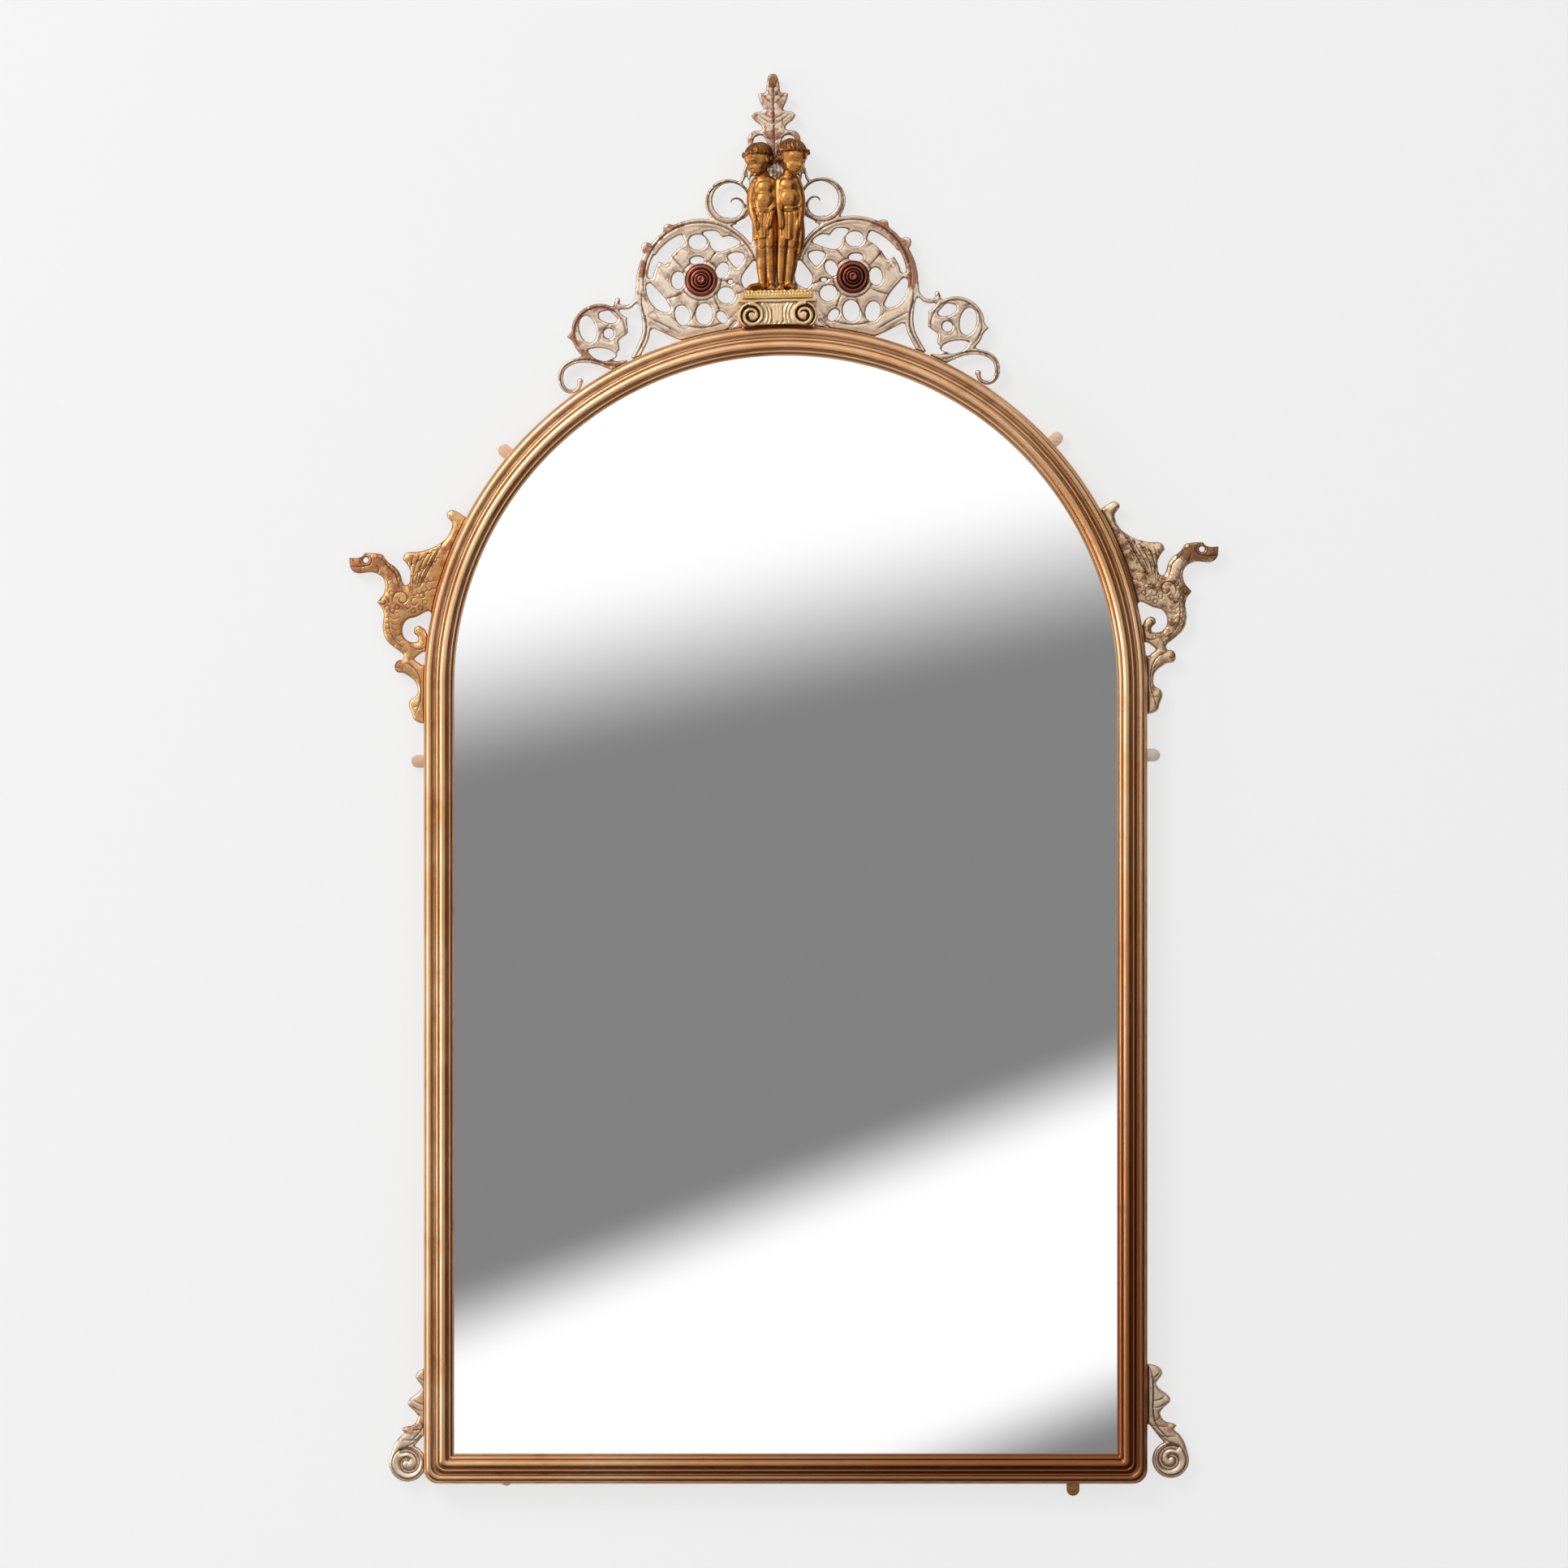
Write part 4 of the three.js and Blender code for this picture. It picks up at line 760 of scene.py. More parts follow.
def dragon_lines():
    """Grooves, in x from the edge of the frame and height above the centre of the arch."""
    yield arc((56, 131), 5.6, (0, 360)), 1.5, 0.7
    yield [(73, 125.6), (66, 124.4), (58, 124.6), (51, 127)], 1.7, 1.1
    yield [(70, 131.6), (67.6, 130.4), (68.4, 132)], 1.8, 0.8
    yield [(61, 134), (56, 136.4), (48, 134.6)], 1.2, 0.5
    yield [(46, 127), (43, 121), (45.6, 117.6)], 1.3, 0.6
    # the mane down the back of the neck
    yield [(46, 134), (39, 131), (33, 123), (27, 117), (24.6, 109), (22.4, 102)], 1.5, 0.8
    for x, h in ((44.6, 137), (40, 135), (36.6, 130.6), (32.4, 126.6), (28, 122), (24.6, 117), (22.6, 111)):
        yield [(x, h), (x - 0.6, h - 3.0), (x + 1.8, h - 5.4)], 1.1, 0.5
    yield [(43.4, 114), (36, 112), (34, 105), (35.6, 98)], 1.2, 0.5
    for h in (99.5, 103.5, 107.5, 111.5):
        yield [(31, h), (34.6, h - 1.4), (38, h + 0.4)], 1.0, 0.35
    # chest, shoulder and body
    yield arc((38.8, 89.6), (5.6, 1.2), (200, -240)), 1.4, 0.7
    yield arc((21, 92), (9.6, 1.6), (-40, 400)), 1.5, 0.8
    yield arc((7.6, 88.4), (5.6, 1.4), (160, -200)), 1.3, 0.6
    yield [(31, 88), (33.4, 76), (33, 62), (27, 50), (17, 43)], 1.4, 0.6
    for k in range(8):
        t = k / 7
        x, h = 29.4 - 10 * t * t, 82 - 38 * t
        yield [(x - 5, h - 3.4 + 2 * t), (x - 0.6, h - 4.6), (x + 4, h - 1)], 1.0, 0.45
        yield [(x + 4.6, h - 1), (x + 7.2, h - 3.4), (x + 9.4, h - 1.6)], 1.0, 0.4
    # the wing: feathers from the shoulder to its upper edge, with a row of short ones over them
    tips = ((13.6, 131), (8.6, 135), (2, 136.4), (-5, 137.6), (-12, 140.6), (-18.6, 145.6), (-24, 152.6),
            (-27.6, 161))
    for k, (x, h) in enumerate(tips):
        root, bow = 12 - 1.2 * k, 4 - 0.5 * k
        yield [(root, 99 + 0.4 * k), (0.5 * (x + root) + bow, 0.5 * (h + 99)), (x, h)], 1.3, 0.65
    for k in range(6):
        x, h = 9.6 - 5.2 * k, 112.4 + 3.4 * k
        yield [(x + 3.2, h - 2), (x + 1.4, h + 2.6), (x - 2.6, h + 1.6)], 1.3, 0.7
        yield [(x + 2.6, h + 10), (x + 0.4, h + 14), (x - 3, h + 13)], 1.2, 0.6
    yield [(-24.6, 174.6), (-28, 172.6), (-31.4, 166), (-29, 158)], 1.2, 0.6
    # pearls along the breast, and scales between the shoulder and the wing
    for x, h in ((30.6, 97.4), (35.4, 83.2), (30.0, 80.6), (25.2, 84.0), (14.6, 84.6), (9.4, 80.0),
                 (2.2, 82.6), (-2.0, 88.4), (0.6, 95.0)):
        yield arc((x, h), 2.3, (0, 360)), 1.0, 0.5
    for k in range(5):
        yield arc((-11 + 4.8 * k, 104 - 1.6 * k), 2.5, (150, 390)), 1.0, 0.5
        yield arc((-13 + 4.8 * k, 112 - 0.8 * k), 2.5, (150, 390)), 1.0, 0.45
    # the tail and the leaf below it
    yield [(3, 60), (5.6, 61.6), (7.4, 57.4), (4.4, 51.6), (-2, 50)], 1.1, 0.5
    yield [(12, 44), (4, 42), (-2, 44)], 1.3, 0.6
    yield arc((24.4, 26), (4.2, 1.0), (120, -180)), 1.3, 0.6
    yield [(21, 30), (12, 26), (5, 16), (3, 0), (5, -12), (9, -22)], 1.5, 0.7
    yield [(5, 12), (8, 14.6), (11, 18)], 1.1, 0.4
    yield [(3.6, -4), (7, -7), (11, -8.6)], 1.1, 0.5
    yield [(4.6, -12), (8, -14.6), (12, -15)], 1.1, 0.5


def dragon(side, light, mid, dark, oxide, stains):
    node = "left_dragon" if side < 0 else "right_dragon"
    lines = [(handed(side, points, out=TOP), width, deep) for points, width, deep in dragon_lines()]
    stains = [(handed(side, points, out=TOP), width, strength) for points, width, strength in stains]
    made = cast_plate(node + "_chased", node, 0.65 * MM, 2.0 * MM, 1.6 * MM, 8 * MM,
                      lines, stains, DRAGON_SLIP)
    colours = light, mid, dark, oxide
    clad(made, worn_bronze(node + " bronze", *colours, rough=0.3, cover=0.8, grain=2.6))


head_and_neck = [(72, 127), (56, 129), (42, 128), (32, 118), (25, 108)]
body_and_wing = [(22, 50), (30, 74), (22, 96), (4, 104), (-8, 126), (-20, 150)]
dragon(-1, (0.86, 0.58, 0.30), (0.62, 0.33, 0.125), (0.09, 0.032, 0.012), (0.38, 0.14, 0.06),
       [(head_and_neck, 16, 0.9), (body_and_wing, 44, 0.4), ([(30, 24), (24, 27)], 12, 0.9),
        ([(45, 89), (38, 90)], 12, 0.8)])
dragon(1, (0.92, 0.69, 0.46), (0.68, 0.43, 0.23), (0.07, 0.03, 0.012), (0.25, 0.105, 0.045),
       [(head_and_neck[:3], 18, 1.0), (body_and_wing, 44, 0.36), ([(45, 89), (36, 90)], 12, 0.7)])


# ---------- the lower side plates ----------
# A leafy strip of cast bronze on each side that runs down the stile into a round scroll. The left
# one is tucked in deeper and hangs lower than the right one, as in the photograph.

LOW_CURL = (23.4, 23)


def lower_lines():
    """Grooves, in x from the edge of the frame and height above its bottom edge."""
    yield arc(LOW_CURL, 15.4, (0, 360)), 1.4, 0.6
    yield [(3, 112), (6, 100), (6, 84), (6, 70), (10, 56), (22, 43)], 1.6, 0.8
    for x, h in ((13, 109), (19, 86), (20, 79), (14, 66), (22, 56), (30, 46)):
        low, middle = (h - 5, h - 3.4) if h > 60 else (h + 1, h)
        yield [(6, low), (0.5 * (x + 6), middle), (x - 1, h)], 1.2, 0.5
    yield [(10, 50), (17, 43.6), (30, 36)], 1.2, 0.5


LOWER_STAINS = (([(14, 60), (30, 52)], 12, 0.7), ([(20, 88), (14, 110)], 8, 0.4))
for side, inwards, down, node in ((-1, 7, 3.6, "left_lower_scroll"), (1, 0, 0, "right_lower_scroll")):
    move = {"out": TOP - inwards, "up": RAIL_Z / MM - down}
    lines = [(handed(side, points, **move), width, deep) for points, width, deep in lower_lines()]
    stains = [(handed(side, points, **move), width, strength) for points, width, strength in LOWER_STAINS]
    made = cast_plate(node + "_chased", node, 0.7 * MM, 1.8 * MM, 1.0 * MM, 7 * MM, lines, stains, 0.0)
    clad(made, worn_bronze(node + " bronze", (0.94, 0.80, 0.62), (0.80, 0.60, 0.43),
                           (0.10, 0.045, 0.025), (0.42, 0.19, 0.10), rough=0.34, cover=0.7))


# ---------- the two children ----------
# Two small children cast in golden bronze, flat behind, close together on their plinth, heads
# turned away from each other, a short cloth at the hips. They are built up from lumps of clay,
# drawn together and worked with folds, locks of hair and quiet faces of a general kind.

figure_low, figure_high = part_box("left_figure")
GROUND = figure_low.z / MM
FLAT_BACK = figure_high.y / MM
CLAY = 0.42 * MM  # how fine the skin is
PLINTH_FRONT = -29 * MM  # what stands out past it is pressed back by half


def shape_of(piece):
    """The corners and faces of a piece, for the heap."""
    corners = np.array([vertex.co for vertex in piece.data.vertices])
    return corners, [list(face.vertices) for face in piece.data.polygons]


bpy.ops.mesh.primitive_uv_sphere_add(segments=20, ring_count=12, radius=MM)
LUMP_SPOTS, LUMP_FACES = shape_of(bpy.context.object)
bpy.ops.object.delete()
heap = []  # lumps, and other bodies, that wait to be drawn together


def ball(x, y, h, rx, ry, rz, turn=(0, 0, 0)):
    """One copy of the lump, in millimetres: across, forwards from the back and above the ground."""
    spots = (LUMP_SPOTS * np.array([rx, ry, rz])) @ np.array(Euler(turn).to_matrix()).T
    heap.append((spots + np.array([x, FLAT_BACK - y, GROUND + h]) * MM, LUMP_FACES))


def heaped(name):
    """One object of all that waits in the heap."""
    spots, faces, start = [], [], 0
    for some, corners in heap:
        spots.append(some)
        faces += [[start + k for k in face] for face in corners]
        start += len(some)
    heap.clear()
    mesh = bpy.data.meshes.new(name)
    mesh.from_pydata(np.vstack(spots).tolist(), [], faces)
    made = bpy.data.objects.new(name, mesh)
    scene.collection.objects.link(made)
    return made


def limb(stations, flat=1.0):
    """A row of lumps along a smooth line of stations: across, forwards, height and radius."""
    line = smooth_line(stations, 1.0)
    spot = line[0]
    ball(*spot[:3], spot[3], spot[3] * flat, spot[3])
    for row in line:
        if np.linalg.norm(row[:3] - spot[:3]) > 0.2 * spot[3]:
            spot = row
            ball(*spot[:3], spot[3], spot[3] * flat, spot[3])


def ringed(name, sides, rings, place):
    """A closed body of rings: place says where a corner lies, from its ring and its turn."""
    bpy.ops.mesh.primitive_circle_add(vertices=sides, radius=MM, fill_type="NGON")
    made = bpy.context.object
    made.name = name

    def draw(mesh):
        turns = mesh.verts.layers.float.new("turn")
        for vertex in mesh.verts:
            vertex[turns] = math.atan2(vertex.co.y, vertex.co.x)
        for ring in range(rings):
            if ring:
                bpy.ops.mesh.extrude_region()
            for vertex in (v for v in mesh.verts if v.select):
                vertex.co = place(ring, vertex[turns])
        bpy.ops.mesh.select_all(action="SELECT")
        bpy.ops.mesh.normals_make_consistent(inside=False)

    in_edit(made, draw)
    return made


def cloth(centre, low, high, wide, deep, folds, lean):
    """A short skirt of cloth: a closed tube with folds that deepen towards its hem."""
    steps = 14

    def hang(ring, turn):
        t = ring / steps
        crease = 1 + 0.05 * t * math.sin(folds * turn + 1.6 * t)
        crease += 0.02 * t * math.sin(2.3 * folds * turn + 2)
        size = (0.93 + 0.08 * t**1.5) * crease
        return ((centre[0] + wide * size * math.cos(turn)) * MM,
                (FLAT_BACK - centre[1] + deep * size * math.sin(turn)) * MM,
                (GROUND + high + (low - high) * t + lean * math.cos(turn) * t) * MM)

    heap.append(shape_of(ringed("skirt", 72, steps + 1, hang)))
    bpy.ops.object.delete()


def draw_together(piece, voxel, rounds):
    """Melts lumps into one skin, and smooths it."""
    pick(piece)
    modify(piece, "REMESH", mode="VOXEL", voxel_size=voxel)
    modify(piece, "SMOOTH", factor=0.6, iterations=rounds)


def read_spots(mesh):
    """Where the corners lie, and which way each one faces."""
    spots, ways = np.empty(3 * len(mesh.vertices)), np.empty(3 * len(mesh.vertices))
    mesh.vertices.foreach_get("co", spots)
    mesh.vertices.foreach_get("normal", ways)
    return spots.reshape(-1, 3), ways.reshape(-1, 3)


def write_spots(mesh, spots):
    mesh.vertices.foreach_set("co", spots.ravel())
    mesh.update()


def paint_hollow_shade_and_wear(piece, rounds, scale):
    """Marks hollows and edges: how far each spot lies below or above the smoothed skin. The hollows are
    darkened as painted shade and patina, the edges lightened as wear.
    """
    mesh = piece.data
    spots, ways = read_spots(mesh)
    ends = np.empty(2 * len(mesh.edges), int)
    mesh.edges.foreach_get("vertices", ends)
    a, b = ends[::2], ends[1::2]
    count = np.bincount(ends, minlength=len(spots))[:, None]
    soft = spots.copy()
    for _ in range(rounds):
        total = [np.bincount(a, soft[b, k], len(spots)) + np.bincount(b, soft[a, k], len(spots))
                 for k in range(3)]
        soft = 0.4 * soft + 0.6 * np.column_stack(total) / np.maximum(count, 1)
    under = np.einsum("ij,ij->i", soft - spots, ways) / scale
    for trait, values in (("hollow", np.clip(under, 0, 1)), ("edge", np.clip(-under, 0, 1))):
        if trait in mesh.attributes:
            old = np.empty(len(spots), np.float32)
            mesh.attributes[trait].data.foreach_get("value", old)
            mesh.attributes[trait].data.foreach_set("value", np.maximum(old, values).astype(np.float32))
        else:
            paint(mesh, trait, values)


def head(centre, size, yaw, pitch, roll):
    """Adds the lumps of a head; it looks forwards, then is turned."""
    yaw, pitch, roll = (Matrix.Rotation(math.radians(degrees), 3, axis)
                        for degrees, axis in ((yaw, "Z"), (pitch, "X"), (roll, "Y")))
    way = yaw @ pitch @ roll
    angles = way.to_euler()

    def lump(x, up, out, rx, ry, rz):
        at = way @ Vector((x, -out, up)) * size
        ball(centre[0] + at.x, centre[1] - at.y, centre[2] + at.z, rx * size, ry * size, rz * size, angles)

    lump(0, 0.10, -0.08, 0.80, 0.92, 0.86)  # skull
    lump(0, -0.34, 0.26, 0.56, 0.60, 0.60)  # jaw and cheeks
    lump(0.27, -0.30, 0.40, 0.30, 0.34, 0.32)
    lump(-0.27, -0.30, 0.40, 0.30, 0.34, 0.32)
    lump(0, -0.78, 0.50, 0.17, 0.20, 0.16)  # chin
    lump(0, 0.22, 0.30, 0.66, 0.62, 0.56)  # forehead
    for side in (-1, 1):
        lump(side * 0.80, -0.08, -0.02, 0.10, 0.17, 0.22)  # ears
    # a cap of hair, with locks round its edge
    lump(0, 0.26, -0.20, 0.88, 0.94, 0.84)
    lump(0, -0.10, -0.50, 0.70, 0.56, 0.62)
    for k in range(11):
        turn = math.radians(-100 + 20 * k)
        x, out = 0.80 * math.sin(turn), 0.65 * math.cos(turn) + 0.03
        up = 0.36 + 0.30 * math.cos(turn)
        lump(x, up, out, 0.17, 0.15, 0.13)
    for k in range(9):
        turn = math.radians(100 + 20 * k)
        lump(0.80 * math.sin(turn), -0.18 + 0.06 * (k % 2), 0.62 * math.cos(turn) - 0.1, 0.21, 0.21, 0.19)
    return way


# where the face is pushed out or in: across, up, how far, and the spread both ways
FACE = [
    (0.30, 0.00, -0.115, 0.17, 0.11), (-0.30, 0.00, -0.115, 0.17, 0.11),  # sockets
    (0.30, -0.03, 0.085, 0.125, 0.07), (-0.30, -0.03, 0.085, 0.125, 0.07),  # lids
    (0.30, 0.20, 0.030, 0.20, 0.06), (-0.30, 0.20, 0.030, 0.20, 0.06),  # brows
    (0, 0.05, 0.040, 0.07, 0.16), (0, -0.14, 0.085, 0.065, 0.12), (0, -0.27, 0.120, 0.075, 0.07),  # nose
    (0.09, -0.30, 0.060, 0.05, 0.045), (-0.09, -0.30, 0.060, 0.05, 0.045),
    (0, -0.38, -0.030, 0.06, 0.05),
    (0, -0.475, 0.070, 0.15, 0.040), (0, -0.575, 0.075, 0.11, 0.045),  # lips
    (0, -0.525, -0.045, 0.17, 0.018), (0, -0.66, -0.040, 0.12, 0.04), (0, -0.80, 0.05, 0.13, 0.10),
    (0.40, -0.34, 0.045, 0.18, 0.17), (-0.40, -0.34, 0.045, 0.18, 0.17),  # cheeks
]


def work_head(mesh, way, centre, size):
    """Models the face and combs the hair, on the smoothed skin; gives back the lines of painted shade and the
    hair.
    """
    spots, ways = read_spots(mesh)
    middle = np.array([centre[0], FLAT_BACK - centre[1], GROUND + centre[2]]) * MM
    local = (spots - middle) @ np.array(way) / (size * MM)
    x, up, out = local[:, 0], local[:, 2], -local[:, 1]
    away = np.sqrt(x**2 + out**2 + up**2)
    near = away < 1.5
    front = np.clip((out - 0.12) / 0.3, 0, 1)
    hairline = 0.50 - 0.55 * np.clip(np.abs(x) - 0.45, 0, 1)
    face = near * front * np.clip((hairline - up) / 0.08, 0, 1) * np.clip((up + 1.05) / 0.1, 0, 1)
    push = np.zeros(len(spots))
    for a, b, far, wide, high in FACE:
        push += far * np.exp(-(((x - a) / wide) ** 2) - ((up - b) / high) ** 2)
    forwards = -np.array(way)[:, 1]
    spots += (push * face * size * MM)[:, None] * forwards
    # the locks: wavy grooves that run from the crown to the edge of the hair
    crown_x, crown_out = 0.1, -0.35
    swirl = np.arctan2(out - crown_out, x - crown_x) + 0.9 * (0.9 - up)
    wave = np.sin(17 * swirl + 1.3 * np.sin(7 * up + 2 * x)) + 0.5 * np.sin(31 * swirl + 3 * up)
    lower = -0.45 - 0.3 * np.clip(-out, 0, 1)
    hair = near * (1 - face) * np.clip((up - np.where(out > 0.1, hairline - 0.12, lower)) / 0.15, 0, 1)
    hair = hair * (away < 1.35)
    fade = np.clip((np.hypot(x - crown_x, out - crown_out) - 0.08) / 0.25, 0, 1)
    spots += (0.030 * wave * hair * fade * size * MM)[:, None] * ways
    write_spots(mesh, spots)
    # painted shade: fine dark lines under the lids and between the lips
    lines = np.zeros(len(spots))
    for side in (-1, 1):
        bow = -0.035 - 1.4 * (x - side * 0.30) ** 2
        lines += 0.8 * np.exp(-(((up - bow) / 0.028) ** 2)) * (np.abs(x - side * 0.30) < 0.15)
    lines += 0.9 * np.exp(-(((up + 0.525 - 0.25 * x**2) / 0.022) ** 2)) * (np.abs(x) < 0.15)
    return np.clip(lines, 0, 1) * (face > 0.5), hair


def child(side, spec):
    """One child, from its lumps to its worked skin."""
    for lump in spec["lumps"]:
        ball(*lump)
    for stations, flat in spec["limbs"]:
        limb(stations, flat)
    cloth(*spec["cloth"])
    way = head(*spec["head"])
    body = heaped("left_child" if side < 0 else "right_child")
    draw_together(body, CLAY, 16)
    lines, hair = work_head(body.data, way, *spec["head"][:2])
    spots, ways = read_spots(body.data)
    # folds of the cloth and other small grooves
    for strokes, deep, wide in spec["folds"]:
        line = smooth_line(strokes, 0.6)
        marks = np.column_stack([line[:, 0], GROUND + line[:, 1]]) * MM
        _, away = nearest(marks, spots[:, [0, 2]])
        groove = np.exp(-((away / (wide * MM)) ** 2)) * np.clip(-ways[:, 1] * 1.6, 0, 1)
        spots += (-deep * MM * groove)[:, None] * ways
        # the folds are darkened too, as painted shade
        lines = np.maximum(lines, 0.55 * groove * (deep > 0))
    spots[:, 1] = np.minimum(spots[:, 1], FLAT_BACK * MM)
    spots[:, 1] += 0.48 * np.clip(PLINTH_FRONT - spots[:, 1], 0, None)
    spots[:, 2] = np.maximum(spots[:, 2], GROUND * MM)
    write_spots(body.data, spots)
    paint(body.data, "hollow", lines)
    paint(body.data, "hair", hair)
    # painted shade and patina in the hollows, wear on the edges
    paint_hollow_shade_and_wear(body, 40, 1.0 * MM)
    pick(body)
    bpy.ops.object.shade_smooth()
    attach(body, "frame")
    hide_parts("left_figure" if side < 0 else "right_figure")
    return body


def toes(x, y, way):
    """Five toes in a row, at the end of a foot that points along way."""
    return [(x - way[1] * k, y + way[0] * k, 2.0, 1.0, 1.7, 1.1) for k in (-3.0, -1.5, 0.0, 1.5, 3.0)]


# Each child: its head (centre, size and turns in degrees), its lumps, its limbs (stations and how
# flat they are), its cloth, and its folds (points, depth and width). All are in millimetres.
left_child = {
    "head": ((-27.2, 11.6, 129.0), 15.6, -38, 18, -8),
    "lumps": [
        (-20.8, 8.6, 77, 13.2, 9.6, 11), (-20.6, 10.6, 89, 12.0, 10.4, 12), (-20.4, 9.4, 101, 11.2, 9.2, 11),
        (-21.0, 8.4, 109, 10.4, 7.0, 6), (-16.6, 12.2, 103, 4.4, 4.2, 4.6), (-24.8, 12.4, 103, 4.4, 4.2, 4.6),
        *toes(-36.6, 16.6, (-0.8, 0.6)), *toes(-14.0, 19.6, (0.1, 1)),
    ],
    "limbs": [
        ([(-21.6, 8.4, 109, 7.0), (-23.0, 9.2, 115, 6.4), (-24.6, 10.2, 120, 6.2)], 1.0),
        ([(-22.8, 8.8, 76, 9.6), (-23.0, 9.6, 62, 8.6), (-22.4, 10.6, 48, 7.0), (-22.8, 8.6, 37, 6.6),
          (-22.8, 7.8, 26, 6.4), (-22.4, 7.4, 11, 4.7), (-22.6, 7.8, 5, 4.8)], 1.0),
        ([(-22.8, 7.0, 4.6, 4.4), (-28, 10.6, 4.4, 4.0), (-33.4, 14.2, 3.4, 3.4),
          (-35.4, 15.6, 2.8, 2.7)], 1.0),
        ([(-16.4, 8.8, 76, 8.6), (-15.6, 10.6, 62, 7.6), (-14.8, 12.2, 48, 6.3), (-14.8, 9.8, 37, 5.8),
          (-14.6, 8.8, 26, 5.6), (-14.0, 8.4, 11, 4.2), (-14.0, 8.8, 5, 4.3)], 1.0),
        ([(-14.0, 8, 4.4, 4.0), (-14.0, 13, 4.0, 3.8), (-14.0, 17.6, 3.0, 3.0)], 1.0),
        ([(-28.8, 8.8, 107.4, 5.6), (-32.4, 8.8, 98, 5.3), (-33.6, 9.8, 86, 4.9), (-32.2, 13.0, 76, 4.2),
          (-29.8, 15.6, 69, 3.4)], 1.0),
        ([(-29.8, 15.8, 69, 3.4), (-28.6, 16.8, 65, 3.3), (-27.6, 17.2, 61.4, 2.2)], 0.8),
        ([(-13.2, 9.4, 107, 5.0), (-12.2, 11.4, 97, 4.6), (-12.4, 14.0, 86, 4.2), (-13.8, 16.6, 77, 3.6),
          (-15.2, 17.8, 70, 3.1)], 1.0),
        ([(-15.2, 17.8, 70, 3.1), (-16.2, 18.2, 66, 3.1), (-17, 18.0, 62, 2.1)], 0.8),
    ],
    "cloth": ((-20.6, 9.0), 52, 81, 12.6, 9.8, 7, 2.0),
    "folds": [
        ([(-32, 80), (-26, 77.4), (-18, 77), (-11, 79)], 0.6, 1.2),
        ([(-30, 83), (-24, 80.8), (-16, 80.6), (-11, 82.4)], -0.8, 1.4),
        ([(-27, 76), (-28.4, 66), (-27.6, 55)], 0.5, 1.0), ([(-22, 75), (-22.4, 64), (-22, 54)], 0.5, 1.1),
        ([(-16.6, 75), (-16, 66), (-16.6, 54)], 0.5, 1.0), ([(-20.6, 88.0), (-20.5, 87.4)], 0.8, 0.9),
        ([(-25.6, 43), (-22.6, 41.4), (-19.4, 43)], 0.4, 1.1),
        ([(-17.4, 43), (-14.6, 41.6), (-12, 43)], 0.4, 1.1),
    ],
}

